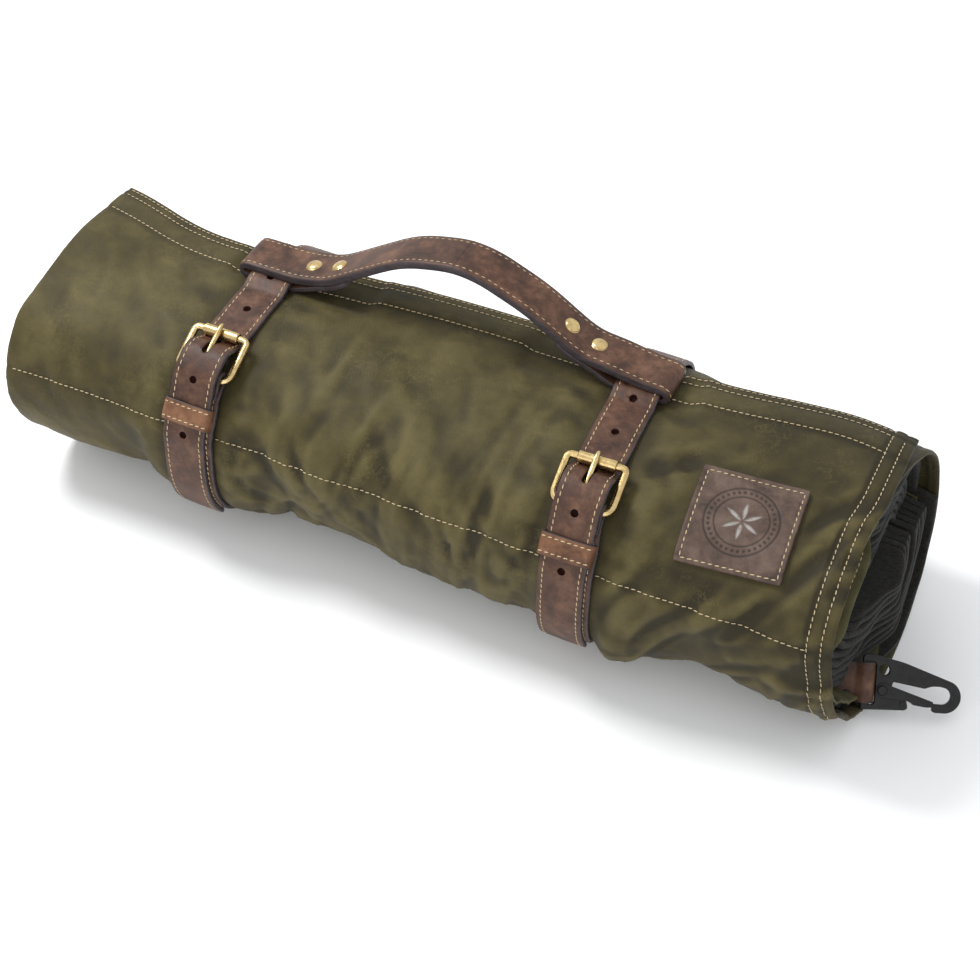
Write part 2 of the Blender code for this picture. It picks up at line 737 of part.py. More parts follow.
def make_hook():
    place = hook_matrix()
    # the nose's lower side ends short of the gate, and the eye's end is round
    outline = [(-1.6, -13.2), (-0.6, -14), (3, -13.8), (21.5, -13), (22.8, -11.8), (22, -8.2)]
    outline += [(15, -5.2), (13.6, -2.2), (14.6, 1.2), (31, -1.2), (34.5, 0.2), (38.5, 0.4)]
    outline += arc_points((40.2, -4.3), 4.4, 65, -95, 9)
    outline += [(36.2, -8.6), (35.4, -9.2), (35.2, -12.2), (36.4, -13.2)]
    outline += arc_points((41.2, -4.6), 8.6, -95, 62, 12)
    outline += [(20, 11.4), (5.5, 14.4), (1, 14.8), (-1.2, 14), (-1.6, 12.8)]
    slot = [(1.7, -11.2), (5.5, -11.2), (5.5, 11.2), (1.7, 11.2)]
    eyelet = arc_points((9.6, 7.1), 2.9, 0, 345, 20)
    body = slab("snap_hook_body", [scaled(outline), scaled(slot), scaled(eyelet)], PLATE, black, place)

    pivot = place @ Matrix.Translation((*GATE_PIVOT, 0))
    cut(body, cutter("gate_pivot_hole", pin_mesh(1.9 * MM, 12 * MM), pivot))
    stop = place @ Matrix.Translation((*STOP_PIN, 0))
    cut(body, cutter("stop_pin_hole", pin_mesh(1.3 * MM, 12 * MM), stop))

    side = PLATE / 2 + GAP
    lever = [(5.4, -4.2), (6.4, -0.8), (9.4, 0.4), (12.5, -0.6), (34.2, -7.4), (34.4, -10.2)]
    lever += [(31, -10.6), (25.5, -9.9), (22.5, -8.1), (9.4, -7.3), (6.4, -6.4)]
    bore = [(x / MM, y / MM) for x, y in arc_points(GATE_PIVOT, 1.9 * MM, 0, 342, 18)]
    lift = Matrix.Translation((0, 0, side + 0.5 * MM))
    gate = slab("snap_hook_gate", [scaled(lever), scaled(bore)], 1.0 * MM, black, place @ lift)
    nose = [(24.6, -8.0), (25.4, -5.4), (34.2, -8.2), (34.4, -10.2), (31, -10.5), (25, -9.9)]
    drop = Matrix.Translation((0, 0, 0.4 * MM))
    filler = slab("gate_filler", [scaled(nose)], PLATE + 0.9 * MM, None, place @ drop)
    parts.objects.unlink(filler)
    cutters.objects.link(filler)
    filler.hide_render = True
    filler.display_type = "WIRE"
    cut(gate, filler, "UNION")

    head = side + 1.0 * MM + GAP
    pin = [
        (0, head + 0.9 * MM), (2.2 * MM, head + 0.8 * MM), (2.7 * MM, head), (1.6 * MM, head),
        (1.6 * MM, -side - 1.9 * MM), (2.6 * MM, -side - 1.9 * MM), (2.4 * MM, -side - 2.5 * MM),
        (0, -side - 2.6 * MM),
    ]
    turned("snap_hook_pivot", pin, black, pivot, steps=20)
    spring = [(2.4 * MM * math.cos(a), 2.4 * MM * math.sin(a), -side - 0.8 * MM)
              for a in np.radians(np.linspace(0, 300, 14))]
    spring += [(5.5 * MM, -4.2 * MM, -side - 0.8 * MM)]
    wire("snap_hook_spring", spring, 0.45 * MM, black, pivot, resolution=2)
    small = [(0, side + 0.5 * MM), (1.0 * MM, side + 0.4 * MM), (1.0 * MM, -side - 0.4 * MM),
             (0, -side - 0.5 * MM)]
    return turned("snap_hook_stop_pin", small, black, stop, steps=16)


def make_tab(layers_round_tab):
    """Leather strip folded round the hook's slot bar and sewn in between the layers."""
    place = hook_matrix()
    clear = BAR_CLEAR + TAB / 2
    layers = TAB / 2 + 0.2 * MM
    path = [(-TAB_LENGTH, layers), (-10 * MM, layers), (-5 * MM, layers + 0.3 * MM)]
    path += arc_points((0.1 * MM, 0), clear, 118, -118, 15)
    path += [(-5 * MM, -layers - 0.3 * MM), (-10 * MM, -layers), (-TAB_LENGTH, -layers)]
    flat = ribbon(path, TAB)
    # local X, Y, Z of the outline become the hook's X, Z, -Y
    turn = Matrix(((1, 0, 0, 0), (0, 0, -1, 0), (0, 1, 0, 0), (0, 0, 0, 1)))
    tab = slab("hook_tab", [flat], TAB_WIDTH, leather, place @ turn)
    rivet_at = place @ Matrix.Translation((-9.5 * MM, -6.5 * MM, 0))
    half = 2 * layers + GAP
    profile = [(0, half + 0.9 * MM), (1.8 * MM, half + 0.7 * MM), (2.3 * MM, half),
               (1.1 * MM, half), (1.1 * MM, -half), (2.3 * MM, -half),
               (1.8 * MM, -half - 0.7 * MM), (0, -half - 0.9 * MM)]
    turned("tab_rivet", profile, black, rivet_at, steps=16)
    cut(tab, cutter("tab_rivet_hole", pin_mesh(1.4 * MM, 14 * MM, 16), rivet_at))
    room = box_mesh((TAB_LENGTH, TAB_WIDTH + 1.0 * MM, 4 * layers + 1.0 * MM))
    matrix = place @ Matrix.Translation((-TAB_LENGTH / 2 - 1 * MM, 0, 0))
    for layer in layers_round_tab:
        cut(layer, cutter("tab_room_" + layer.name, room, matrix))
    return tab


# ---------------------------------------------------------------- the whole object
clear_scene()
parts = new_collection(MODEL)
cutters = new_collection("cutters")

olive = material("olive_waxed_canvas", (0.12, 0.1, 0.048), 0.75)
olive_inner = material("olive_canvas_inside", (0.1, 0.085, 0.045), 0.85)
charcoal = material("charcoal_felt", (0.05, 0.047, 0.045), 0.95)
leather = material("brown_leather", (0.12, 0.05, 0.033), 0.5)
tan_leather = material("keeper_leather", (0.14, 0.055, 0.028), 0.5)
brass = material("antique_brass", (0.62, 0.46, 0.2), 0.3, 1.0)
black = material("black_steel", (0.03, 0.03, 0.033), 0.45, 0.7)

cloth = make_cloth()
for belt_side in BELTS:
    make_belt(belt_side)
    make_buckle(belt_side)
    make_keeper(belt_side)
make_handle()
make_patch()
make_hook()
make_tab(cloth)
bpy.context.view_layer.update()
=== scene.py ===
"""A rolled canvas tool roll with two buckled belts, a carry handle and a snap hook, in millimetres."""

import math

import bmesh
import bpy
import numpy as np
from mathutils import Matrix, Vector


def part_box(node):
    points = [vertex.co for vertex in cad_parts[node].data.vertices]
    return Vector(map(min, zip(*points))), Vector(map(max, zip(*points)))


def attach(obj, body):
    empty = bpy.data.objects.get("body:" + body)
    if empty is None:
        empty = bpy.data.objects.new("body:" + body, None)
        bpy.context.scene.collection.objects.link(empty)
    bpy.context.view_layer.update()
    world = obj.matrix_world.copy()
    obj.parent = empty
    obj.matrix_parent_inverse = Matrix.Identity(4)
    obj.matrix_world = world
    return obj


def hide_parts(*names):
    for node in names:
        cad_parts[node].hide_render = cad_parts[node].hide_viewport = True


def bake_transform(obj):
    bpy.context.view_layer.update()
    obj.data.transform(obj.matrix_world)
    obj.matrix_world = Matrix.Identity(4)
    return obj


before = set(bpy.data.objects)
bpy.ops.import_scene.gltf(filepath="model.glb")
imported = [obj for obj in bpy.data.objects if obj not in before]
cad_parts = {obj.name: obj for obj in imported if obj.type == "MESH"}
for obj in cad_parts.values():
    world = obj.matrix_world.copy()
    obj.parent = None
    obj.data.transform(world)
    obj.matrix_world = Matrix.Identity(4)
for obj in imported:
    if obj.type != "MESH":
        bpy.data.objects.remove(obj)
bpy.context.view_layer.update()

MM = 0.001

# the roll's section and ends, as in the CAD model
ROLL_LEFT, ROLL_RIGHT = (corner.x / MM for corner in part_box("outer_canvas"))
ROLL_Y = 1.5
HALF_DEPTH = 83.0
HALF_HEIGHT = 57.4
BOTTOM_BULGE = 59.0
ROUND_TOP = 2.6
ROUND_BOTTOM = 2.2
GAP = 0.3
BELT = 2.4
BELT_WIDTH = 25.0
ROLL_Z = HALF_HEIGHT + GAP + BELT
BELT_PIVOT_Y = -34 + ROLL_Y
BELTS = {"left": (-148.6, 0.0), "right": (68.7, math.radians(2.75))}
HOLE_SPACING = 25.4
FIRST_HOLE = -10.6
ROLLER_AT = 38.5
ROLLER_HEIGHT = 8.2
HEEL_HEIGHT = 5.7
BAR_TO_BAR = 25.0
WIRE = 2.0
ROLLER_OUTER = 3.2
KEEPER_AT = 81.0
KEEPER_LENGTH = 12.0
KEEPER_LEATHER = 1.3
KEEPER_PLAY = 0.5
HOLE_RADIUS = 2.1
RAIL = 15.8
ROLLER_INNER = 2.4
ROLLER_LENGTH = 20.5
PRONG = 1.5
PRONG_RING = WIRE + 0.2 + PRONG
PRONG_OVER = 4.0
TAIL_END = 158.0
HANDLE_Y = 29 + ROLL_Y
HANDLE_WIDTH = 25.0
STRAP = 4.2
TURN_BACK = 2.8
LOOP_FLOOR = ROLL_Z + HALF_HEIGHT + 0.2
BELT_IN_LOOP = LOOP_FLOOR + TURN_BACK + 0.6
JOIN_LEFT = -98.4
JOIN_RIGHT = 14.7
RIVETS = {"1": -127.0, "2": -110.6, "3": 22.1, "4": 38.6}
PATCH_X = 146.3
PATCH_SIZE = 55.0
PATCH_THICK = 2.2
PLATE = 3.0
TAB = 2.2
TAB_WIDTH = 21.0
TAB_LENGTH = 28.0
RIVET_HEAD = 4.5
PATCH_TURN = math.radians(-5)
PATCH_MIDDLE = 40.6
SEAM_AT = 91.0
FLAP_RUN = 60.0
UNDER_FLAP = 130.0
STITCH_SLANT = 0.12
ACROSS_ROLL, ALONG_Y = (1.0, 0.0, 0.0), (0.0, 1.0, 0.0)
HOLES_CUT = (0, 1, 3, 4)    # the prong's own hole, number 2, is a slot


# ---------------------------------------------------------------- curves through a few points
def smooth(value):
    value = np.clip(value, 0, 1)
    return value * value * (3 - 2 * value)


def bump_at(value, centre, width):
    return np.exp(-(((value - centre) / width) ** 2))


def through(points, at):
    """A smooth curve (monotone cubic) through (place, value) points, held level past both ends."""
    x, y = (np.array(column, float) for column in zip(*points))
    at = np.clip(np.asarray(at, float), x[0], x[-1])
    rise = np.diff(y) / np.diff(x)
    slope = np.concatenate([[rise[0]], (rise[:-1] + rise[1:]) / 2, [rise[-1]]])
    slope[1:-1][rise[:-1] * rise[1:] <= 0] = 0
    k = np.clip(np.searchsorted(x, at, side="right") - 1, 0, len(x) - 2)
    width = x[k + 1] - x[k]
    t = (at - x[k]) / width
    return (
        (2 * t**3 - 3 * t**2 + 1) * y[k]
        + (t**3 - 2 * t**2 + t) * width * slope[k]
        + (-2 * t**3 + 3 * t**2) * y[k + 1]
        + (t**3 - t**2) * width * slope[k + 1]
    )


def soft_noise(u, v, seed):
    """Smooth value noise from about -1 to 1, one cell per unit."""
    table = np.random.default_rng(seed).uniform(-1, 1, (256, 256))
    u, v = np.broadcast_arrays(np.asarray(u, float), np.asarray(v, float))
    iu, iv = np.floor(u).astype(int), np.floor(v).astype(int)
    fu, fv = u - iu, v - iv
    fu, fv = (f * f * f * (f * (f * 6 - 15) + 10) for f in (fu, fv))
    a = table[iu % 256, iv % 256]
    b = table[(iu + 1) % 256, iv % 256]
    c = table[iu % 256, (iv + 1) % 256]
    d = table[(iu + 1) % 256, (iv + 1) % 256]
    return (a * (1 - fu) + b * fu) * (1 - fv) + (c * (1 - fu) + d * fu) * fv


def arc_length(points):
    return np.concatenate([[0], np.cumsum(np.linalg.norm(np.diff(points, axis=0), axis=1))])


def even_line(points, step=1.0, passes=0):
    """Even spacing along a line, then a short running mean that leaves both ends alone."""
    points = np.asarray(points, float)
    arc = arc_length(points)
    even = np.linspace(0, arc[-1], max(int(arc[-1] / step), 2) + 1)
    points = at_places(points, arc, even)
    for _ in range(passes):
        points[1:-1] = (points[:-2] + points[1:-1] * 2 + points[2:]) / 4
    return points


def at_places(values, arc, places):
    """Rows of values read between the arc distances they belong to."""
    return np.column_stack([np.interp(places, arc, column) for column in values.T])


def unit(vectors):
    return vectors / np.linalg.norm(vectors, axis=-1)[..., None]


def facing(vectors, guide):
    """The vectors, each turned round where it points against its guide."""
    return vectors * np.sign((vectors * guide).sum(-1))[..., None]


def upright(line):
    """A line of (Y, Z) points or directions as X, Y, Z."""
    return np.column_stack([np.zeros(len(line)), line])


def side_on(line):
    """A line of (X, Z) points or directions as X, Y, Z."""
    return np.column_stack([line[:, 0], np.zeros(len(line)), line[:, 1]])


def arc_points(centre, radius, start, end, count):
    """Points on an arc, with its angles in degrees."""
    return [
        (centre[0] + radius * math.cos(a), centre[1] + radius * math.sin(a))
        for a in np.radians(np.linspace(start, end, count))
    ]


def corner_points(half_x, half_y, radii, count):
    """The four rounded corners of a rectangle, from the top right one round to the left."""
    spots = ((0, 1, 1), (90, -1, 1), (180, -1, -1), (270, 1, -1))
    for (start, x, y), radius in zip(spots, radii):
        yield x, arc_points((x * (half_x - radius), y * (half_y - radius)), radius, start, start + 90, count)


def frame_on(point, along, out):
    """A frame at a point with Y along and Z out."""
    along, out = Vector(along).normalized(), Vector(out).normalized()
    turned = Matrix((along.cross(out), along, out)).transposed().to_4x4()
    return Matrix.Translation(point) @ turned


def turned_by(place, directions):
    return directions @ np.array(place.to_3x3()).T


def placed(place, points):
    return turned_by(place, points) + np.array(place.to_translation())


# ---------------------------------------------------------------- the roll's section
def build_section(samples=1440):
    """Points round the canvas, from the top centre over the front, with outward normals."""
    turn = np.linspace(0, 2 * math.pi, samples, endpoint=False)
    sine, cosine = np.sin(turn), np.cos(turn)
    power = np.where(cosine > 0, ROUND_TOP, ROUND_BOTTOM)
    height = np.where(cosine > 0, HALF_HEIGHT, BOTTOM_BULGE)
    y = -HALF_DEPTH * np.sign(sine) * np.abs(sine) ** (2 / power)
    z = np.maximum(height * np.sign(cosine) * np.abs(cosine) ** (2 / power), -HALF_HEIGHT)
    line = np.column_stack([y + ROLL_Y, z + ROLL_Z])
    closed = np.vstack([line, line[:1]])
    arc = arc_length(closed)
    even = np.linspace(0, arc[-1], samples + 1)
    line = at_places(closed, arc, even)[:-1]
    tangent = unit(np.roll(line, -6, axis=0) - np.roll(line, 6, axis=0))
    return line, np.column_stack([tangent[:, 1], -tangent[:, 0]]), arc[-1]


LINE, NORMAL, AROUND = build_section()


def section_at(distance):
    """The Y, Z point and its outward normal at an arc distance from the top centre."""
    place = (np.asarray(distance, float) % AROUND) / AROUND * len(LINE)
    low = np.floor(place).astype(int) % len(LINE)
    high = (low + 1) % len(LINE)
    part = (place - np.floor(place))[..., None]
    normal = NORMAL[low] * (1 - part) + NORMAL[high] * part
    return LINE[low] * (1 - part) + LINE[high] * part, normal


def on_section(distance, height=0.0):
    base, normal = section_at(distance)
    return base + normal * np.asarray(height, float)[..., None]


def top_distance(y):
    """The arc distance of the point on the roll's top side at this Y."""
    near = np.linspace(-90, 90, 721)
    line = on_section(near)[:, 0]
    return np.interp(-np.asarray(y, float), -line, near)


# ---------------------------------------------------------------- meshes
def new_object(name, points, faces, finishes, sharp_from=40):
    """A smooth-shaded mesh from points in millimetres, with edges past an angle kept sharp."""
    mesh = bpy.data.meshes.new(name)
    mesh.from_pydata((np.asarray(points, float) * MM).tolist(), [], faces)
    mesh.update()
    piece = linked(name, mesh)
    for finish in finishes:
        mesh.materials.append(finish)
    shade_piece(piece, sharp_from)
    return piece


def linked(name, data):
    item = bpy.data.objects.new(name, data)
    bpy.context.scene.collection.objects.link(item)
    return item


def shade_piece(piece, sharp_from):
    piece.data.shade_smooth()
    if sharp_from:
        piece.data.set_sharp_from_angle(angle=math.radians(sharp_from))


def face_outwards(piece, join=False):
    """Turns the faces outwards, after joining points that coincide where that is asked for."""
    shape = bmesh.new()
    shape.from_mesh(piece.data)
    if join:
        bmesh.ops.remove_doubles(shape, verts=shape.verts, dist=1e-6)
        bmesh.ops.dissolve_degenerate(shape, edges=shape.edges, dist=1e-7)
    bmesh.ops.recalc_face_normals(shape, faces=shape.faces)
    shape.to_mesh(piece.data)
    shape.free()
    return piece


def point_values(piece, name, values):
    layer = piece.data.attributes.new(name, "FLOAT", "POINT")
    layer.data.foreach_set("value", np.asarray(values, np.float32).ravel())


def surface_coordinates(piece, u, v):
    """A UV layer in millimetres, from values at the points."""
    loops = np.zeros(len(piece.data.loops), np.int32)
    piece.data.loops.foreach_get("vertex_index", loops)
    layer = piece.data.uv_layers.new(name="UVMap")
    flat = np.column_stack([np.asarray(u).ravel()[loops], np.asarray(v).ravel()[loops]])
    layer.data.foreach_set("uv", flat.astype(np.float32).ravel())


def closed_cloth(name, outer, inner, finish, u, v, marks=None):
    """A thin closed solid between two grids of points of the same shape."""
    rows, columns = outer.shape[:2]
    count = rows * columns
    index = np.arange(count).reshape(rows, columns)

    def quads(a):
        return np.stack([a[:-1, :-1], a[1:, :-1], a[1:, 1:], a[:-1, 1:]], -1).reshape(-1, 4)

    faces = [quads(index), quads(index)[:, ::-1] + count]
    rim = np.concatenate([index[0], index[1:, -1], index[-1, -2::-1], index[-2:0:-1, 0]])
    following = np.roll(rim, -1)
    faces.append(np.stack([rim, following, following + count, rim + count], -1))
    points = np.vstack([outer.reshape(-1, 3), inner.reshape(-1, 3)])
    piece = new_object(name, points, np.vstack(faces).tolist(), finish, sharp_from=50)
    u, v = np.broadcast_to(u, (rows, columns)), np.broadcast_to(v, (rows, columns))
    surface_coordinates(piece, np.stack([u, u]), np.stack([v, v]))
    for mark, values in (marks or {}).items():
        values = np.broadcast_to(values, (rows, columns))
        point_values(piece, mark, np.stack([values, values]))
    return face_outwards(piece)


def rounded_profile(width, thickness, corner, crown=0.0, steps=3):
    """The outline across a strap, as (across, out) points all the way round."""
    half_x, half_y = width / 2, thickness / 2
    points = []
    for number, (x, arc) in enumerate(corner_points(half_x, half_y, [corner] * 4, steps + 1)):
        points += arc
        if number % 2 == 0:
            side = 1 - number
            for across in np.linspace(1, -1, 13)[1:-1] * (half_x - corner) * x:
                lift = crown * (1 - (across / half_x) ** 2) if side > 0 else 0
                points.append((across, side * half_y + lift))
    return np.array(points)


def near_edge(profile, rim):
    """Which faces of a swept profile lie within this distance of its two long edges."""
    across = np.abs(profile[:, 0])
    return across > across.max() - rim


def sweep(name, centre, out, across, profile, finishes, scale=None, closed=False, rim=None):
    """A profile of (across, out) points carried along a line; its rim can take the second material."""
    count, ring = len(centre), len(profile)
    scale = np.ones((count, 2)) if scale is None else scale
    out, across = (np.broadcast_to(way, (count, 3)) for way in (out, across))
    wide, high = (profile[None] * scale[:, None]).transpose(2, 0, 1)[..., None]
    points = centre[:, None] + across[:, None] * wide + out[:, None] * high
    index = np.arange(count * ring).reshape(count, ring)
    turned = np.roll(index, -1, axis=1)
    quads = np.stack([index, turned, np.roll(turned, -1, axis=0), np.roll(index, -1, axis=0)], -1)
    quads = quads if closed else quads[:-1]
    faces = quads.reshape(-1, 4).tolist()
    side = np.tile(np.zeros(ring, bool) if rim is None else near_edge(profile, rim), len(quads))
    if not closed:
        faces += [list(range(ring))[::-1], list(range((count - 1) * ring, count * ring))]
        side = np.concatenate([side, [True, True]])
    piece = new_object(name, points.reshape(-1, 3), faces, finishes, sharp_from=50)
    surface_coordinates(piece, np.repeat(arc_length(centre), ring), np.tile(arc_length(profile), count))
    edge = np.abs(profile[:, 0]) / np.abs(profile[:, 0]).max()
    point_values(piece, "edge", np.tile(edge, count))
    if len(finishes) > 1:
        piece.data.polygons.foreach_set("material_index", side.astype(np.int32))
    return face_outwards(piece)


def capsule(length, width, height, rings=6, sides=8):
    """Points and faces of one stitch lying along X."""
    angles = np.linspace(0, 2 * math.pi, sides, endpoint=False)
    points = [(-length / 2, 0, 0)]
    for k in range(1, rings):
        t = -1 + 2 * k / rings
        r = (1 - abs(t) ** 2.6) ** 0.5
        wide, high = r * width / 2, r * height / 2
        points += [(t * length / 2, wide * math.cos(a), high * math.sin(a)) for a in angles]
    points.append((length / 2, 0, 0))
    last = len(points) - 1
    faces = []
    for s in range(sides):
        following = (s + 1) % sides
        for first in range(1, 1 + (rings - 2) * sides, sides):
            faces.append((first + s, first + following, first + sides + following, first + sides + s))
        faces.append((0, 1 + following, 1 + s))
        faces.append((last, last - sides + s, last - sides + following))
    return np.array(points), faces


class Stitching:
    """Rows of stitches gathered into one piece."""

    def __init__(self, name, length, width, height, pitch):
        self.name, self.pitch, self.length = name, pitch, length
        self.points, self.faces = capsule(length, width, height)
        self.all_points, self.all_faces = [], []

    def row(self, line, out, lift=0.0, skip=None):
        """Stitches along a line of points, each a little aslant and flat on its outward direction."""
        arc = arc_length(line)
        number = max(int(arc[-1] / self.pitch), 1)
        places = (np.arange(number) + 0.5) * arc[-1] / number
        here = at_places(line, arc, places)
        half = self.length / 2
        along = unit(at_places(line, arc, places + half) - at_places(line, arc, places - half))
        side = unit(np.cross(unit(at_places(out, arc, places)), along))
        up = np.cross(along, side)
        along, side = along + side * STITCH_SLANT, side - along * STITCH_SLANT
        for k in range(number):
            if skip is not None and skip(here[k]):
                continue
            first = len(self.all_points) * len(self.points)
            axes = np.stack([along[k], side[k], up[k]])
            self.all_points.append(self.points @ axes + here[k] + up[k] * lift)
            self.all_faces += [tuple(i + first for i in face) for face in self.faces]

    def two_rows(self, centre, across, out, inset, shown, skip=None):
        """A row along each side of a strap, this far from its middle."""
        for offset in (-inset, inset):
            self.row((centre + np.asarray(across) * offset)[shown], out[shown], skip=skip)

    def finish(self):
        return new_object(self.name, np.vstack(self.all_points), self.all_faces, [thread], 0)


# ---------------------------------------------------------------- materials
class Shade:
    """A small helper that builds one material's nodes."""

    def __init__(self, name, roughness=0.5, metallic=0.0, specular=0.5):
        self.material = bpy.data.materials.new(name)
        self.material.use_nodes = True
        self.nodes = self.material.node_tree.nodes
        self.links = self.material.node_tree.links
        self.shader = self.nodes["Principled BSDF"]
        self.shader.inputs["Roughness"].default_value = roughness
        self.shader.inputs["Metallic"].default_value = metallic
        self.shader.inputs["Specular IOR Level"].default_value = specular
        self.place = self.nodes.new("ShaderNodeTexCoord").outputs["Object"]
        self.normal = None

    def put(self, socket, value):
        if isinstance(value, bpy.types.NodeSocket):
            self.links.new(value, socket)
        else:
            socket.default_value = value

    def stretched(self, scale):
        node = self.nodes.new("ShaderNodeMapping")
        node.inputs["Scale"].default_value = scale
        self.links.new(self.place, node.inputs["Vector"])
        return node.outputs["Vector"]

    def noise(self, size, detail=3.0, roughness=0.55, vector=None, distortion=0.0):
        """Noise with cells about this many millimetres across."""
        node = self.nodes.new("ShaderNodeTexNoise")
        node.inputs["Scale"].default_value = 1000.0 / size
        node.inputs["Detail"].default_value = detail
        node.inputs["Roughness"].default_value = roughness
        node.inputs["Distortion"].default_value = distortion
        self.links.new(vector or self.place, node.inputs["Vector"])
        return node.outputs["Fac"]

    def cells(self, size):
        node = self.nodes.new("ShaderNodeTexVoronoi")
        node.inputs["Scale"].default_value = 1000.0 / size
        self.links.new(self.place, node.inputs["Vector"])
        return node.outputs["Distance"]

    def scratches(self, size, roughness, distortion, width):
        """Fine wandering lines, 1 on a line and 0 beside it."""
        middle = self.maths("SUBTRACT", self.noise(size, 6, roughness, distortion=distortion), 0.5)
        return self.ramp(self.maths("ABSOLUTE", middle), [(0.0, 1.0), (width, 0.0)])

    def ramp(self, value, stops):
        node = self.nodes.new("ShaderNodeValToRGB")
        elements = node.color_ramp.elements
        while len(elements) < len(stops):
            elements.new(0.5)
        for element, (place, colour) in zip(elements, stops):
            element.position = place
            element.color = (*(colour if isinstance(colour, tuple) else [colour] * 3), 1)
        self.links.new(value, node.inputs["Fac"])
        return node.outputs["Color"]

    def maths(self, operation, a, b=0.0, clamp=False):
        node = self.nodes.new("ShaderNodeMath")
        node.operation = operation
        node.use_clamp = clamp
        self.put(node.inputs[0], a)
        self.put(node.inputs[1], b)
        return node.outputs["Value"]

    def times(self, a, b, clamp=False):
        return self.maths("MULTIPLY", a, b, clamp)

    def plus(self, a, b):
        return self.maths("ADD", a, b)

    def mix(self, share, a, b, blend="MIX"):
        node = self.nodes.new("ShaderNodeMix")
        node.data_type = "RGBA"
        node.blend_type = blend
        for socket, value in ((node.inputs[0], share), (node.inputs[6], a), (node.inputs[7], b)):
            if isinstance(value, tuple) and len(value) == 3:
                value = (*value, 1)
            self.put(socket, value)
        return node.outputs[2]

    def mark(self, name):
        node = self.nodes.new("ShaderNodeAttribute")
        node.attribute_name = name
        return node.outputs["Fac"]

    def bump(self, height, distance, strength=1.0):
        """Adds relief of about this many millimetres."""
        node = self.nodes.new("ShaderNodeBump")
        node.inputs["Strength"].default_value = strength
        node.inputs["Distance"].default_value = distance * MM
        self.links.new(height, node.inputs["Height"])
        if self.normal is not None:
            self.links.new(self.normal, node.inputs["Normal"])
        self.normal = node.outputs["Normal"]
        self.links.new(self.normal, self.shader.inputs["Normal"])

    def colour(self, value):
        self.put(self.shader.inputs["Base Color"], (*value, 1) if isinstance(value, tuple) else value)

    def roughness(self, value):
        self.put(self.shader.inputs["Roughness"], value)


def weave(shade, pitch, distance):
    """A fine over-and-under cloth relief from the surface coordinates, which are in millimetres."""
    apart = shade.nodes.new("ShaderNodeSeparateXYZ")
    shade.links.new(shade.nodes.new("ShaderNodeTexCoord").outputs["UV"], apart.inputs["Vector"])
    turns = 2 * math.pi / pitch
    warp, weft = (shade.maths("SINE", shade.times(apart.outputs[k], turns)) for k in (0, 1))
    shade.bump(shade.times(warp, weft), distance, 0.6)


def brighter(colour, factor):
    return tuple(min(part * factor, 1) for part in colour)


def make_canvas(name, dark, body, bloom_and_highlight, shine):
    shade = Shade(name, roughness=shine, specular=0.22)
    cloud = shade.noise(55, 4, 0.62)
    patches = shade.noise(14, 5, 0.7, distortion=0.6)
    streaks = shade.noise(26, 4, 0.65, shade.stretched((0.35, 1.0, 1.0)))
    blend = shade.plus(shade.times(cloud, 0.5), shade.times(patches, 0.3))
    blend = shade.plus(blend, shade.times(streaks, 0.2))
    base = shade.ramp(blend, [(0.31, dark), (0.48, body), (0.68, bloom_and_highlight)])
    # lighter on the raised folds' crests: partly the wax's real pull-up, partly a painted highlight
    base = shade.mix(shade.times(shade.mark("raised"), 0.6, clamp=True), base, bloom_and_highlight)
    # painted shade in the creases' hollows and towards the right end; also darker along the stitch rows and
    # close beside the belts
    base = shade.mix(shade.times(shade.mark("sunk"), 0.9, clamp=True), base, dark)
    sparse = shade.ramp(shade.noise(38, 2), [(0.52, 0.0), (0.62, 1.0)])
    wear = shade.times(shade.times(shade.scratches(9, 0.6, 1.4, 0.022), sparse), 0.22)
    base = shade.mix(wear, base, brighter(bloom_and_highlight, 1.7))
    fibre = shade.ramp(shade.noise(0.9, 3, 0.8), [(0.3, 0.35), (0.7, 1.0)])
    shade.colour(shade.mix(0.28, base, fibre, "MULTIPLY"))
    shade.roughness(shade.plus(shade.times(patches, 0.35), shine - 0.17))
    shade.bump(shade.noise(7, 5, 0.6, distortion=0.4), 0.45, 0.5)
    shade.bump(shade.noise(1.6, 4, 0.7), 0.12, 0.5)
    weave(shade, 0.85, 0.06)
    shade.shader.inputs["Sheen Weight"].default_value = 0.03
    return shade.material


def make_felt(name, dark, light):
    shade = Shade(name, roughness=0.95, specular=0.15)
    heather = shade.noise(1.3, 5, 0.8, shade.stretched((0.5, 1.0, 1.0)), 0.8)
    tufts = shade.noise(6, 3)
    middle = tuple((a + b) / 2 for a, b in zip(dark, light))
    base = shade.ramp(heather, [(0.36, dark), (0.52, middle), (0.7, light)])
    shade.colour(shade.mix(0.4, base, shade.ramp(tufts, [(0.3, 0.45), (0.7, 1.0)]), "MULTIPLY"))
    shade.bump(tufts, 0.7, 0.5)
    shade.bump(heather, 0.5, 0.9)
    shade.shader.inputs["Sheen Weight"].default_value = 0.08
    shade.shader.inputs["Sheen Roughness"].default_value = 0.6
    return shade.material


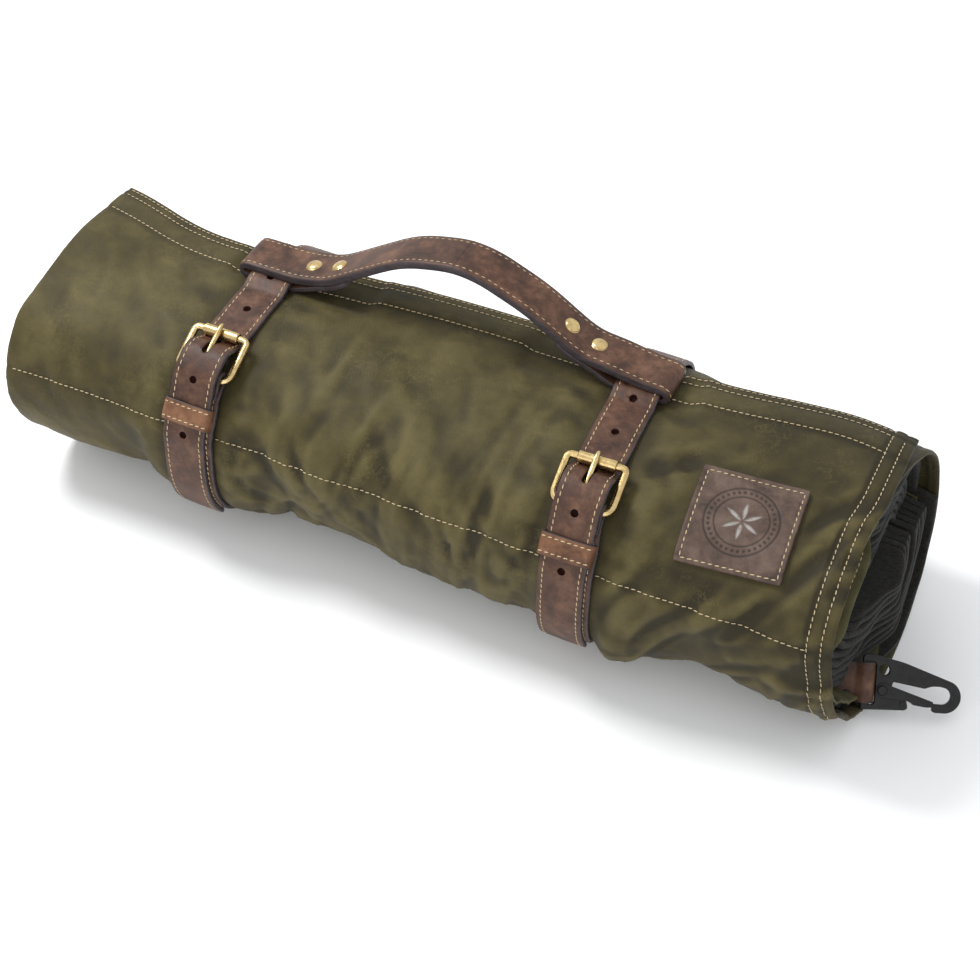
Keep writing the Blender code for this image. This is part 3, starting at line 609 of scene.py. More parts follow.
def make_leather(name, dark, body, light, shine=0.5, printed=False):
    shade = Shade(name, roughness=shine, specular=0.32)
    blotch = shade.noise(5, 4, 0.65)
    blend = shade.plus(shade.times(shade.noise(17, 4, 0.62, distortion=0.5), 0.62), shade.times(blotch, 0.38))
    base = shade.ramp(blend, [(0.35, dark), (0.5, body), (0.66, light)])
    edge = shade.ramp(shade.mark("edge"), [(0.86, 0.0), (0.99, 1.0)])
    base = shade.mix(shade.times(edge, 0.55), base, dark)
    base = shade.mix(shade.times(shade.scratches(6, 0.7, 1.0, 0.016), 0.16), base, brighter(light, 1.5))
    if printed:
        base = shade.mix(shade.times(shade.mark("burnt"), 0.85), base, (0.012, 0.008, 0.007))
        worn = shade.times(shade.ramp(shade.noise(1.5, 3), [(0.32, 0.35), (0.5, 1.0)]), 0.85)
        base = shade.mix(shade.times(shade.mark("painted"), worn), base, (0.34, 0.32, 0.3))
    shade.colour(base)
    shade.roughness(shade.plus(shade.times(blotch, 0.3), shine - 0.15))
    shade.bump(shade.ramp(shade.cells(0.75), [(0.0, 0.0), (0.5, 1.0)]), 0.07, 0.6)
    shade.bump(shade.noise(2.4, 5, 0.7), 0.16, 0.5)
    return shade.material


def make_edge_paint():
    shade = Shade("edge_paint", roughness=0.48, specular=0.4)
    grain = shade.noise(2.2, 4, 0.7, shade.stretched((0.3, 0.3, 1.0)))
    shade.colour(shade.ramp(grain, [(0.35, (0.028, 0.021, 0.024)), (0.65, (0.06, 0.046, 0.05))]))
    shade.bump(grain, 0.14, 0.6)
    return shade.material


def make_thread():
    shade = Shade("cream_thread", roughness=0.75, specular=0.3)
    lumps = shade.noise(0.5, 2)
    shade.colour(shade.ramp(lumps, [(0.3, (0.32, 0.24, 0.13)), (0.65, (0.58, 0.47, 0.29))]))
    shade.bump(lumps, 0.12, 0.8)
    return shade.material


def make_brass():
    shade = Shade("antique_brass", roughness=0.24, metallic=1.0)
    tarnish = shade.noise(5, 5, 0.65, distortion=0.4)
    shades = [(0.3, (0.42, 0.29, 0.12)), (0.55, (0.66, 0.49, 0.23)), (0.75, (0.8, 0.64, 0.36))]
    shade.colour(shade.ramp(tarnish, shades))
    shade.roughness(shade.ramp(shade.noise(2.6, 4, 0.6), [(0.3, 0.2), (0.7, 0.34)]))
    shade.bump(shade.noise(2.4, 3, 0.5), 0.02, 0.4)
    return shade.material


def make_black_steel():
    shade = Shade("black_steel", roughness=0.36, metallic=0.35)
    wear = shade.noise(3.2, 5, 0.7)
    shade.colour(shade.ramp(wear, [(0.35, (0.0055, 0.005, 0.005)), (0.7, (0.016, 0.0145, 0.0145))]))
    shade.roughness(shade.ramp(shade.noise(1.4, 4), [(0.3, 0.28), (0.7, 0.5)]))
    shade.bump(shade.noise(0.9, 3), 0.04, 0.5)
    return shade.material


def make_hole_dark():
    shade = Shade("punched_hole", roughness=0.9, specular=0.1)
    shade.colour(shade.ramp(shade.noise(0.8, 3), [(0.3, (0.008, 0.003, 0.002)), (0.7, (0.03, 0.009, 0.006))]))
    return shade.material


# each cloth and leather from its dark, middle and light colours
canvas = make_canvas(
    "waxed_olive_canvas", (0.018, 0.0135, 0.0035), (0.059, 0.0455, 0.0125), (0.121, 0.097, 0.036), 0.62
)
canvas_inside = make_canvas(
    "olive_canvas_inside", (0.03, 0.026, 0.011), (0.075, 0.066, 0.028), (0.13, 0.118, 0.06), 0.8
)
felt = make_felt("charcoal_felt", (0.005, 0.0045, 0.0038), (0.03, 0.0275, 0.0235))
leather = make_leather("brown_leather", (0.026, 0.0105, 0.006), (0.07, 0.03, 0.0165), (0.145, 0.07, 0.04))
keeper_leather = make_leather(
    "keeper_leather", (0.05, 0.018, 0.008), (0.13, 0.054, 0.024), (0.23, 0.11, 0.055)
)
patch_leather = make_leather(
    "patch_leather", (0.036, 0.021, 0.015), (0.085, 0.052, 0.038), (0.135, 0.09, 0.068), 0.62, printed=True
)
edge_paint = make_edge_paint()
thread = make_thread()
brass = make_brass()
black_steel = make_black_steel()
hole_dark = make_hole_dark()


# ---------------------------------------------------------------- the canvas surface
# places along the roll against: the flap edge's Y, how far the flap stands off, how far the cloth
# bags out at the lower front
FLAP_LINE = [
    (-267, 51), (-239, 45.5), (-218, 41), (-196, 38), (-165, 36), (-106, 41.5), (-26, 47),
    (30, 48), (85, 45.5), (123, 49), (144, 52.5), (175, 56), (211, 51.5),
]
FLAP_LIFT = [
    (-267, 1.0), (-239, 1.5), (-196, 1.5), (-130, 1.5), (-106, 3.5), (85, 4), (123, 4.5),
    (165, 5), (211, 4),
]
BELLY = [
    (-266, -1), (-235, -2), (-205, -6), (-186, -8), (-176, -3), (-136, 2), (-118, -2.5), (-100, -6),
    (-75, -5.5), (-50, -4.5), (-32, -2.5), (-10, -2.5), (8, -2), (24, -1.5), (44, -3.5), (56, -5),
    (80, 2), (90, 6), (100, 5), (110, 2), (121, -2.5), (132, -6), (143, -7), (172, -5),
    (187, -3), (207, -4.4), (226, -6),
]
# arc distances against how far the left end flares off the section
FLARE = [
    (-120, 0), (-52, 5), (-27, 3.7), (-3, 4.9), (24, 3.1), (43, 2.1), (62, 4.2), (73, 3.2),
    (88, 2), (112, 1.5), (129, -1.5), (147, -3.5), (180, -4), (220, 0),
]
# shares of the way round against where the right end lies
RIGHT_END = [
    (-0.11, 206.8), (0, 207.5), (0.05, 205.5), (0.12, 206.5), (0.2, 209), (0.3, 216.6),
    (0.45, 224), (0.52, 225), (0.68, 221), (0.82, 214), (0.95, 206), (1.2, 203),
]
WRAP = AROUND + 80
SHEET = 1.8
HEM = 12.5
FLAP_HEM = 17.5
PRESSED = [(-172, -93), (3, 93)]
SHOULDER = 8.0
STEP = 4.6
# the slack cloth's folds: where they are, how strong, how far turned, their size across and along the
# fold in millimetres, and the seed of their noise
FOLDS = [
    ("middle lower", 2.3, 0.42, 17, 62, 11), ("middle lower", 1.0, -0.3, 9, 42, 12),
    ("middle front", 1.6, -0.12, 24, 80, 13), ("middle front", 0.7, 0.6, 10, 34, 14),
    ("middle seam", 0.8, 0.2, 6.5, 34, 15),
    ("right front", 2.5, -0.72, 17, 75, 21), ("right front", 1.2, -0.5, 9, 45, 22),
    ("right corner", 1.0, -1.05, 8, 40, 23),
    ("left", 0.5, 0.9, 22, 60, 31), ("left", 0.25, 0.3, 10, 45, 32),
    ("back", 1.0, 0.1, 26, 90, 41), ("back", 0.5, 0.7, 12, 50, 42),
    ("beside belts", 0.9, 1.15, 9, 26, 51), ("front", 0.22, 0.5, 5.5, 20, 61),
]


def belt_middle(side, y):
    middle, lean = BELTS[side]
    return middle - math.tan(lean) * (y - BELT_PIVOT_Y)


def beside_belts(x, y):
    """Distance from the nearest belt's edge, 0 under a belt."""
    away = [np.abs(x - belt_middle(side, y)) - BELT_WIDTH / 2 for side in BELTS]
    return np.maximum(np.minimum(*away), 0)


def band(value, start, end, soft):
    """1 between start and end, falling to 0 over the soft width outside them."""
    return smooth((value - start) / soft + 1) * smooth((end - value) / soft + 1)


def folds(x, d, angle, across, along, seed):
    """Soft folds with a few sharper ridges; the angle turns them from round the roll towards +X."""
    cosine, sine = math.cos(angle), math.sin(angle)
    u, v = (x * cosine - d * sine) / across, (x * sine + d * cosine) / along
    warp = soft_noise(u * 0.3, v * 0.9, seed + 9) * 0.7
    value = soft_noise(u + warp, v + 0.3 * warp, seed)
    return 0.75 * value + 0.6 * (np.exp(-((value / 0.2) ** 2)) - 0.4)


def flap_edge(x):
    return top_distance(through(FLAP_LINE, x))


def unwind(x, w):
    """The arc distance on the section of a point this far along the cloth from the flap's edge."""
    return w + flap_edge(x) * (1 - smooth(w / 90))


def cloth_distance(x, d):
    """The distance along the cloth of a point at this arc distance, on the outer turn."""
    w = np.broadcast_to(np.asarray(d, float), np.broadcast(x, d).shape)
    for _ in range(60):
        w = d - flap_edge(x) * (1 - smooth(w / 90))
    return w


def wrinkles(x, d, y):
    """Folds of the slack cloth, in millimetres off the smooth shape."""
    beside = beside_belts(x, y)
    middle = band(x, -118, 38, 26)
    right = smooth((x - 84) / 22)
    front = band(d, 30, 190, 45)
    shares = {
        "middle lower": middle * band(d, 75, 185, 45),
        "middle front": middle * front,
        "middle seam": middle * bump_at(d, SEAM_AT + 14, 30),
        "right front": right * front,
        "right corner": right * front * bump_at(x, 200, 34),
        "left": 1 - smooth((x + 190) / 24),
        "back": band(d, 235, AROUND - 60, 40),
        "beside belts": bump_at(beside, 12, 13),
        "front": front,
    }
    u, v = x / 62, d / 74
    total = 0.7 * (soft_noise(u, v, 3) + soft_noise(2 * u, 2 * v, 4) / 2)
    for where, strength, turn, across, along, seed in FOLDS:
        total += shares[where] * strength * folds(x, d, turn, across, along, seed)
    at_patch = band(x, PATCH_X - 27, PATCH_X + 27, 10) * band(d, PATCH_MIDDLE - 27, PATCH_MIDDLE + 27, 10)
    return total * smooth(beside / 15) * (1 - 0.85 * at_patch)


def flare(x, around):
    return through(FLARE, around) * (1 - smooth((x - ROLL_LEFT) / 65))


def step_share(beside):
    """The turn under the flap lies lower than the belts' line, less so under a belt."""
    return 0.3 + 0.7 * smooth(beside / 22)


def hang(x, around, beside):
    """How the slack cloth bags at the lower front and sags underneath, as a Y, Z shift."""
    bag = through(BELLY, x) * band(around, 134, 168, 44) * smooth(beside / 13)
    sag = 2.3 * band(around, 178, 288, 26) * smooth(beside / 32)
    return -np.stack([0.755 * bag, 0.655 * bag + sag], -1)


def cloth_shift(x, around):
    """How far the slack cloth lies off the section, as a Y, Z shift, and the section's normals."""
    x, around = np.broadcast_arrays(np.asarray(x, float), np.asarray(around, float))
    base, normal = section_at(around)
    beside = beside_belts(x, base[..., 0])
    past = (around - 120) % AROUND + 120 - AROUND
    step = STEP * (1 - smooth((past + 30) / 20))
    step = step + SHOULDER * band(x, ROLL_LEFT, -118, 30) * (1 - smooth((past - 50) / 50))
    height = wrinkles(x, around, base[..., 0]) + flare(x, around)
    height -= step * step_share(beside) * smooth((past + 175) / 130)
    return normal * height[..., None] + hang(x, around, beside), normal


def cloth_surface(x, w):
    """World points of the outer canvas's outer face, its section normals and the wrinkle field."""
    x, w = np.broadcast_arrays(np.asarray(x, float), np.asarray(w, float))
    d = unwind(x, w)
    around = (d + 120) % AROUND - 120
    base, normal = section_at(d)
    beside = beside_belts(x, base[..., 0])
    outer_turn = 1 - smooth((w - AROUND + 150) / 30)
    creases = wrinkles(x, around, base[..., 0]) * (0.35 + 0.65 * outer_turn)
    creases = creases * (1 - 0.75 * band(w, 0, 22, 8) * outer_turn)
    lift = through(FLAP_LIFT, x) * (1 - smooth(w / FLAP_RUN)) * (0.35 + 0.65 * smooth(beside / 12))
    step = (STEP + SHOULDER * band(x, ROLL_LEFT, -118, 30)) * step_share(beside)
    step = step * smooth((w - AROUND + 45 + UNDER_FLAP) / UNDER_FLAP) + 1.5 * smooth((w - AROUND + 45) / 30)
    height = creases + lift - step + flare(x, around) * (1 - smooth((w - 230) / 60))
    height += 1.1 * bump_at(beside, 15, 10) * smooth(beside / 10)
    height += 0.7 * (1 - smooth((w - FLAP_HEM + 0.4) / 1.6)) * (w < 60)
    height -= 0.45 * bump_at(w, 7, 1.1) + 0.35 * bump_at(w, 3, 1.0) + 0.4 * bump_at(w, FLAP_HEM, 1.0)
    seam = bump_at(d, SEAM_AT, 1.3) + 0.35 * bump_at(d, SEAM_AT, 6)
    height -= seam * (0.5 + 0.25 * soft_noise(x / 3.4, 0, 71))
    points = base + normal * height[..., None] + hang(x, around, beside)
    y, z = points[..., 0], points[..., 1]
    for start, end in PRESSED:
        room = np.maximum(np.maximum(start - x, x - end), 0) + np.maximum(np.maximum(13 - y, y - 47), 0)
        ceiling = LOOP_FLOOR - 0.35 + room * 0.45
        over = z > ceiling
        z[over] = ceiling[over] + 0.12 * np.tanh(z - ceiling)[over]
    np.maximum(z, 0.4, out=z)
    return np.stack([x, y, z], -1), upright_normals(normal), creases


def upright_normals(normal):
    """Y, Z directions as X, Y, Z ones."""
    return np.concatenate([np.zeros(normal.shape[:-1] + (1,)), normal], -1)


def right_end(d):
    return through(RIGHT_END, np.asarray(d, float) / AROUND)


def from_right(e, w):
    """X of a point this far from the right edge, measured along the roll."""
    nominal = ROLL_RIGHT - e
    end = right_end(unwind(np.full_like(nominal, ROLL_RIGHT), w))
    return nominal + (end - ROLL_RIGHT) * (1 - smooth(e / 85))


def steps(*parts):
    """Places from runs of (start, end, spacing)."""
    places = [np.arange(start, end - 0.01, space) for start, end, space in parts]
    return np.concatenate(places + [[parts[-1][1]]])


def blurred(field, passes):
    for _ in range(passes):
        padded = np.pad(field, 1, mode="edge")
        field = (padded[:-2, 1:-1] + padded[2:, 1:-1] + padded[1:-1, :-2] + padded[1:-1, 2:] + 2 * field) / 6
    return field


def surface_normals(points, guide):
    return facing(unit(np.cross(np.gradient(points, axis=0), np.gradient(points, axis=1))), guide)


def make_canvas_sheet():
    length = ROLL_RIGHT - ROLL_LEFT
    w = steps((0, 24, 0.9), (24, 135, 1.9), (135, 162, 1.1), (162, 290, 2.1), (290, WRAP, 4.2))[:, None]
    e = steps((0, 3, 0.6), (3, 17, 0.9), (17, length - 8, 2.0), (length - 8, length, 0.8))[None, :]
    x = from_right(e + 0 * w, w)
    outer, normal, creases = cloth_surface(x, w)
    outward = surface_normals(outer, normal)
    outer_turn = w < AROUND - 60
    hem = (0.9 * (1 - smooth((e - HEM + 0.2) / 1.3)) + 0.35 * bump_at(e, 9, 3)) * outer_turn
    hem = hem - 0.55 * (bump_at(e, 5.5, 1.0) + 1.5 * bump_at(e, HEM + 0.4, 1.2)) * outer_turn
    hem = hem * (0.85 + 0.3 * soft_noise(w / 9, 0 * e, 81))
    outer += outward * hem[..., None]
    np.maximum(outer[..., 2], 0.35, out=outer[..., 2])
    edge = np.minimum(np.minimum(e, length - e), w + 0 * e)
    rounding = (1 - np.clip(edge / 2.0, 0, 1)) ** 2
    thickness = SHEET + 0.9 * (1 - smooth((e - HEM) / 3)) + 0.7 * (1 - smooth((w - FLAP_HEM) / 3))
    thickness = thickness + 0 * edge
    inner = outer - outward * (thickness * (1 - 0.28 * rounding))[..., None]
    outer -= outward * (thickness * 0.3 * rounding)[..., None]
    np.maximum(inner[..., 2], 0.7, out=inner[..., 2])
    relief = blurred(creases, 2) - blurred(creases, 26)
    fine = blurred(creases, 1) - blurred(creases, 6)
    stitched = bump_at(w, 7, 1.6) + bump_at(w, 3, 1.6)
    stitched = stitched + bump_at(w, FLAP_HEM + 0.6, 1.8) + bump_at(e, 5.5, 1.6)
    stitched = stitched + 1.5 * bump_at(e, HEM + 1.0, 2.0) + 0.8 * bump_at(unwind(x, w), SEAM_AT, 1.8)
    beside = beside_belts(x, outer[..., 1])
    # darker close beside the belts' edges
    beside_belt_darkening = 0.7 * bump_at(beside, 0, 7) * (beside < 200)
    # painted shade: the canvas darker towards the right end
    painted_right_end_shade = smooth((x + 0 * w - 70) / 90)
    # raised: lighter on the folds' crests, partly the wax's real pull-up and partly painted highlight; sunk:
    # painted shade in the creases' hollows and towards the right end, also darker along the stitch rows and
    # beside the belts
    marks = {
        "raised": np.clip(relief * 0.95 + fine * 1.3 - 0.35 * painted_right_end_shade, 0, 1),
        "sunk": np.clip(-relief * 1.05 - fine * 1.3 + 0.6 * stitched + beside_belt_darkening + 0.5 * painted_right_end_shade, 0, 1),
    }
    sheet = closed_cloth("canvas_sheet", outer, inner, [canvas], x, w + 0 * x, marks)
    return sheet


def surface_line(x, w, lift=0.0):
    """Points on the canvas's outer face with their outward directions."""
    x, w = np.broadcast_arrays(np.asarray(x, float), np.asarray(w, float))
    points, normal, _ = cloth_surface(x, w)
    return points + normal * lift, normal


def near_ground(place):
    return place[2] < 2


def make_canvas_stitches():
    rows = Stitching("canvas_stitches", 2.6, 0.6, 0.5, 3.3)
    x = np.arange(ROLL_LEFT + 3, ROLL_RIGHT - 14, 1.5)
    for w in (3.0, 7.0, FLAP_HEM):
        rows.row(*surface_line(x, w, 0.05 if w > 10 else 0.2), lift=0.12)
    x = np.arange(ROLL_LEFT + 4, 197, 1.5)
    rows.row(*surface_line(x, SEAM_AT, 0.12), lift=0.12)
    w = np.arange(8, AROUND - 75, 1.5)
    for e, lift in ((5.5, 0.35), (HEM, 0.3)):
        rows.row(*surface_line(from_right(np.full(len(w), e), w), w, lift), lift=0.15, skip=near_ground)
    return rows.finish()


# ---------------------------------------------------------------- the layers inside the roll
def inside(d, depth):
    """The Y, Z point at a depth under the canvas, with both half sizes shrinking alike."""
    base, _ = section_at(d)
    centre = np.array([ROLL_Y, ROLL_Z])
    share = np.stack([1 - depth / HALF_DEPTH, 1 - depth / HALF_HEIGHT], -1)
    return centre + (base - centre) * share


def lapped(d):
    """Extra depth of the layers under the flap's double turn."""
    around = (np.asarray(d, float) + 200) % AROUND - 200
    return 5.5 * band(around, -60, 30, 70)


def layer(name, finish, start, turns, depth, pitch, thickness, recess, seed, spacing=3.0, wavy=0.7,
          tongue=0.0, lap=1.0):
    """One strip of cloth wound inwards, recessed from both ends of the canvas.

    The recess is a pair, at the front and at the back; the tongue stands out of the upper front.
    Away from the two ends, where nothing shows it, the strip sinks clear of the canvas's folds."""
    run = np.arange(start, start + turns * AROUND, spacing)[:, None]
    around = (run + 120) % AROUND - 120
    near = np.array([0, 0.5, 1.2, 2.4, 4.5, 9, 16, 25, 40, 70, 120])
    reach = ROLL_RIGHT - ROLL_LEFT - 14
    e = np.concatenate([near, reach - near[::-1]])[None, :]
    at_back = band(around % AROUND, 250, AROUND - 25, 40)
    inset = recess[0] + (recess[1] - recess[0]) * at_back - tongue * band(around, 32, 76, 24)
    inset = inset + 0.5 * (soft_noise(run / 21, 0 * run, seed + 2) + 1)
    x = ROLL_RIGHT - e + (right_end(around) - inset - ROLL_RIGHT) * (1 - smooth(e / 85))
    cloth, normal = cloth_shift(x, around)
    ends = smooth(e / 30) * smooth((reach - e) / 30)
    sway = soft_noise(run / 34, e / 90 + 3, seed) + 0.3 * soft_noise(run / 11, e / 60, seed + 1)
    lap = lap + (1 - lap) * smooth((e - 200) / 90)
    under = depth + pitch * (run - start) / AROUND + lap * lapped(run) + wavy * sway * (1 - 0.6 * ends)
    fade = 1 - np.clip(under / 34, 0, 1)
    sunk = 9 * smooth((e - 9) / 30) * smooth((reach - e - 9) / 30)
    under = np.clip(under + sunk * (0.4 + 0.6 * fade), 2.2, 54.6)
    outer, inner = inside(run, under), inside(run, np.minimum(under + thickness, 57.2))
    middle = (outer + inner) / 2
    round_end = (1 - np.clip(np.minimum(e, reach - e) / 1.5, 0, 1)) ** 2 * 0.44
    faces = []
    for face, clear in ((outer, 0.0), (inner, thickness * 0.8)):
        face = face + (middle - face) * round_end[..., None] + cloth * fade[..., None]
        height = np.maximum(face[..., 1], 1.6 + under * 0.9 + clear)
        faces.append(np.stack([x, face[..., 0], height], -1))
    return closed_cloth(name, *faces, [finish], e, run), faces[0], upright_normals(normal)


def make_inner_layers():
    lining, _, _ = layer(
        "felt_lining_sheet", felt, -38, 1.25, 2.6, 0.0, 4.6, (8.0, -0.6), 101, wavy=0.2, lap=0.35
    )
    pocket, face, out = layer(
        "pocket_canvas_sheet", canvas_inside, -30, 0.97, 7.4, 0.0, 1.8, (3.0, 9.0), 111, wavy=0.3, tongue=6.5
    )
    turns, _, _ = layer("inner_felt_turns", felt, -20, 5.1, 9.6, 5.0, 4.0, (12.0, 2.6), 121, wavy=0.5)
    core, _, _ = layer("felt_core_turns", felt, -20, 4.0, 35.5, 5.2, 4.4, (9.0, 4.0), 131, 4.0, wavy=0.8)
    sewing = Stitching("pocket_stitches", 2.4, 0.6, 0.5, 3.4)
    shown = (slice(19, 38), 4)
    sewing.row(face[shown] + out[shown] * 0.15, out[shown])
    return lining, pocket, turns, core, sewing.finish()


# ---------------------------------------------------------------- belts
def buckle_matrix():
    """Local X across the belt, Y from the roller bar down to the heel bar, Z outwards."""
    roller = on_section(ROLLER_AT, ROLLER_HEIGHT)
    heels = on_section(ROLLER_AT + np.linspace(20, 32, 600), HEEL_HEIGHT)
    reach = np.linalg.norm(heels - roller, axis=1)
    along = Vector((0, *(heels[int(np.argmin(abs(reach - BAR_TO_BAR)))] - roller)))
    return frame_on((0, *roller), along, along.cross(Vector((1, 0, 0))))


BUCKLE = buckle_matrix()


def in_buckle(along, out):
    place = BUCKLE @ Vector((0, along, out))
    return (place.y, place.z)


def belt_lean(side):
    middle, lean = BELTS[side]
    slant = math.tan(lean)
    matrix = Matrix.Translation((middle + slant * BELT_PIVOT_Y, 0, 0))
    matrix[0][1] = -slant
    return matrix


def on_belt(side, place):
    """A frame with Y along the belt and Z out of it, turned to follow that belt's slant."""
    lean = belt_lean(side)
    return frame_on(lean @ place.to_translation(), lean.to_3x3() @ place.col[1].to_3d(), place.col[2].to_3d())


def under_keeper(distance):
    away = np.abs(distance - KEEPER_AT) - KEEPER_LENGTH / 2 - 5
    return (KEEPER_LEATHER + KEEPER_PLAY) * (1 - smooth(away / 10))


def belt_path(side):
    """Middle line of the belt, from its fold on the heel bar, round the roll, to the tail's end."""
    half = BELT / 2
    fold = WIRE + 1.0 + half
    heel = BAR_TO_BAR
    chape_end = 71
    first = on_section(np.linspace(chape_end, chape_end - 3, 3), BELT * 1.5 + 2 * GAP + 1.3)
    turn = [
        in_buckle(heel + fold * math.cos(a), fold * math.sin(a))
        for a in np.radians(np.linspace(85, 275, 20))
    ]
    distance = np.arange(ROLLER_AT + BAR_TO_BAR + 6, AROUND + ROLLER_AT - 13, 2)
    past = distance - AROUND
    drop = (3.6 if side == "left" else 0.0) * smooth((past + 160) / 110) * (1 - smooth((past + 48) / 12))
    run = on_section(distance, GAP + half + np.where(distance < AROUND / 2, under_keeper(distance), -drop))
    beside = np.maximum(abs(run[:, 0] - HANDLE_Y + handle_slip(BELTS[side][0])) - HANDLE_WIDTH / 2 - 1, 0)
    lifted = BELT_IN_LOOP + half - beside * 0.3 - beside**2 / 28
    over_top = distance > AROUND * 0.8
    run[over_top, 1] = np.maximum(run, lifted[:, None])[over_top, 1]
    under_roller = -ROLLER_OUTER - 1.2 - half
    weave = [
        on_section(ROLLER_AT - 7, GAP + half + 0.9),
        in_buckle(-2, under_roller),
        in_buckle(1.5, under_roller + 0.5),
        in_buckle(5.5, -1.4),
        in_buckle(9, 4.6),
        in_buckle(13, 7.7),
        in_buckle(18, 8.3),
        in_buckle(heel, fold + half + GAP + half + 0.8),
        in_buckle(heel + 4, fold + half + GAP + half - 0.2),
    ]
    lay = np.arange(ROLLER_AT + BAR_TO_BAR + 13, TAIL_END, 2)
    over_chape = (BELT + 0.5) * (1 - smooth((lay - chape_end) / 7))
    tail = on_section(lay, 1.5 * BELT + 3 * GAP + under_keeper(lay) + over_chape)
    return even_line(np.vstack([first, turn, run, weave, tail]), 1.0, passes=6)


def line_normals(path):
    tangent = unit(np.gradient(path, axis=0))
    return np.column_stack([-tangent[:, 1], tangent[:, 0]])


def settled_mesh(item):
    """An object's mesh with its modifiers or its curve worked out."""
    bpy.context.view_layer.update()
    return bpy.data.meshes.new_from_object(item.evaluated_get(bpy.context.evaluated_depsgraph_get()))


def cut_away(piece, points_and_faces):
    """Cuts solids out of a piece; the new faces take the dark material of a punched hole."""
    points, faces = [], []
    for more_points, more_faces in points_and_faces:
        faces += [tuple(k + len(points) for k in face) for face in more_faces]
        points += [tuple(point) for point in more_points]
    tool = face_outwards(new_object("cutting", points, faces, [hole_dark], 0))
    step = piece.modifiers.new("cut", "BOOLEAN")
    step.operation = "DIFFERENCE"
    step.solver = "EXACT"
    step.material_mode = "TRANSFER"
    step.object = tool
    mesh = settled_mesh(piece)
    piece.modifiers.clear()
    piece.data = mesh
    bpy.data.objects.remove(tool, do_unlink=True)


def plug(place, half_x, half_y, low, high, sides=28):
    """A straight-sided cutter with round ends, standing on the Z of a frame."""
    straight = max(half_y - half_x, 0)
    ring = []
    for a in np.linspace(0, 2 * math.pi, sides, endpoint=False):
        side = math.copysign(straight, math.sin(a + 1e-6))
        ring.append((half_x * math.cos(a), half_x * math.sin(a) + side))
    points = [place @ Vector((x, y, z)) for z in (low, high) for x, y in ring]
    faces = [(k, (k + 1) % sides, sides + (k + 1) % sides, sides + k) for k in range(sides)]
    faces += [tuple(range(sides)), tuple(range(sides, 2 * sides))]
    return points, faces


def make_belt(side):
    path = belt_path(side)
    arc = arc_length(path)
    left_over = arc[-1] - arc
    half_way = len(path) // 2
    normal = line_normals(path)
    normal = normal * np.sign((normal[half_way] * (path[half_way] - [ROLL_Y, ROLL_Z])).sum())
    # the run under the tail stands a little to the right of it, as a belt that isn't quite straight
    inner_run = band(arc, 45, 105, 22) * (arc < arc[-1] * 0.4)
    centre, out = upright(path), upright(normal)
    centre[:, 0] = belt_middle(side, path[:, 0]) + 2.6 * inner_run + 0.25 * soft_noise(arc / 45, 0 * arc, 201)
    scale = np.ones((len(path), 2))
    scale[:, 0] += 0.012 * soft_noise(arc / 17, 0 * arc, 205)
    scale[:, 0] *= 0.35 + 0.65 * np.sqrt(1 - (1 - np.clip(left_over / 11, 0, 1)) ** 2)
    profile = rounded_profile(BELT_WIDTH, BELT, 0.7, crown=0.22)
    finishes = [leather, edge_paint, hole_dark]
    belt = sweep("belt_strap_" + side, centre, out, ACROSS_ROLL, profile, finishes, scale, rim=0.45)
    for point in belt.data.vertices:
        point.co.z = max(point.co.z, 0.00002)
    cuts = []
    tail = np.where(arc > arc[-1] * 0.55)[0]
    for number in HOLES_CUT:
        at = FIRST_HOLE + number * HOLE_SPACING
        base, top = on_section(at), on_section(at, 10.0)
        along_tail = (path[tail] - base) @ np.array([-(top - base)[1], (top - base)[0]])
        near = tail[int(np.argmin(np.abs(along_tail)))]
        place = frame_on(centre[near], centre[min(near + 1, len(path) - 1)] - centre[near - 1], out[near])
        cuts.append(plug(place, HOLE_RADIUS, HOLE_RADIUS, -0.5, 4.0))
    slot = on_belt(side, BUCKLE) @ Matrix.Translation((0, 9.5, 0))
    cuts.append(plug(slot, 2.0, 6.2, -8.3, 10.7))
    cut_away(belt, cuts)
    sewing = Stitching("belt_stitches_" + side, 2.8, 0.6, 0.5, 3.7)
    shown = slice(6, len(path) - 12)
    raised = centre + out * (BELT / 2 + 0.14)
    sewing.two_rows(raised, ACROSS_ROLL, out, BELT_WIDTH / 2 - 2.7, shown, near_ground)
    return belt, sewing.finish()


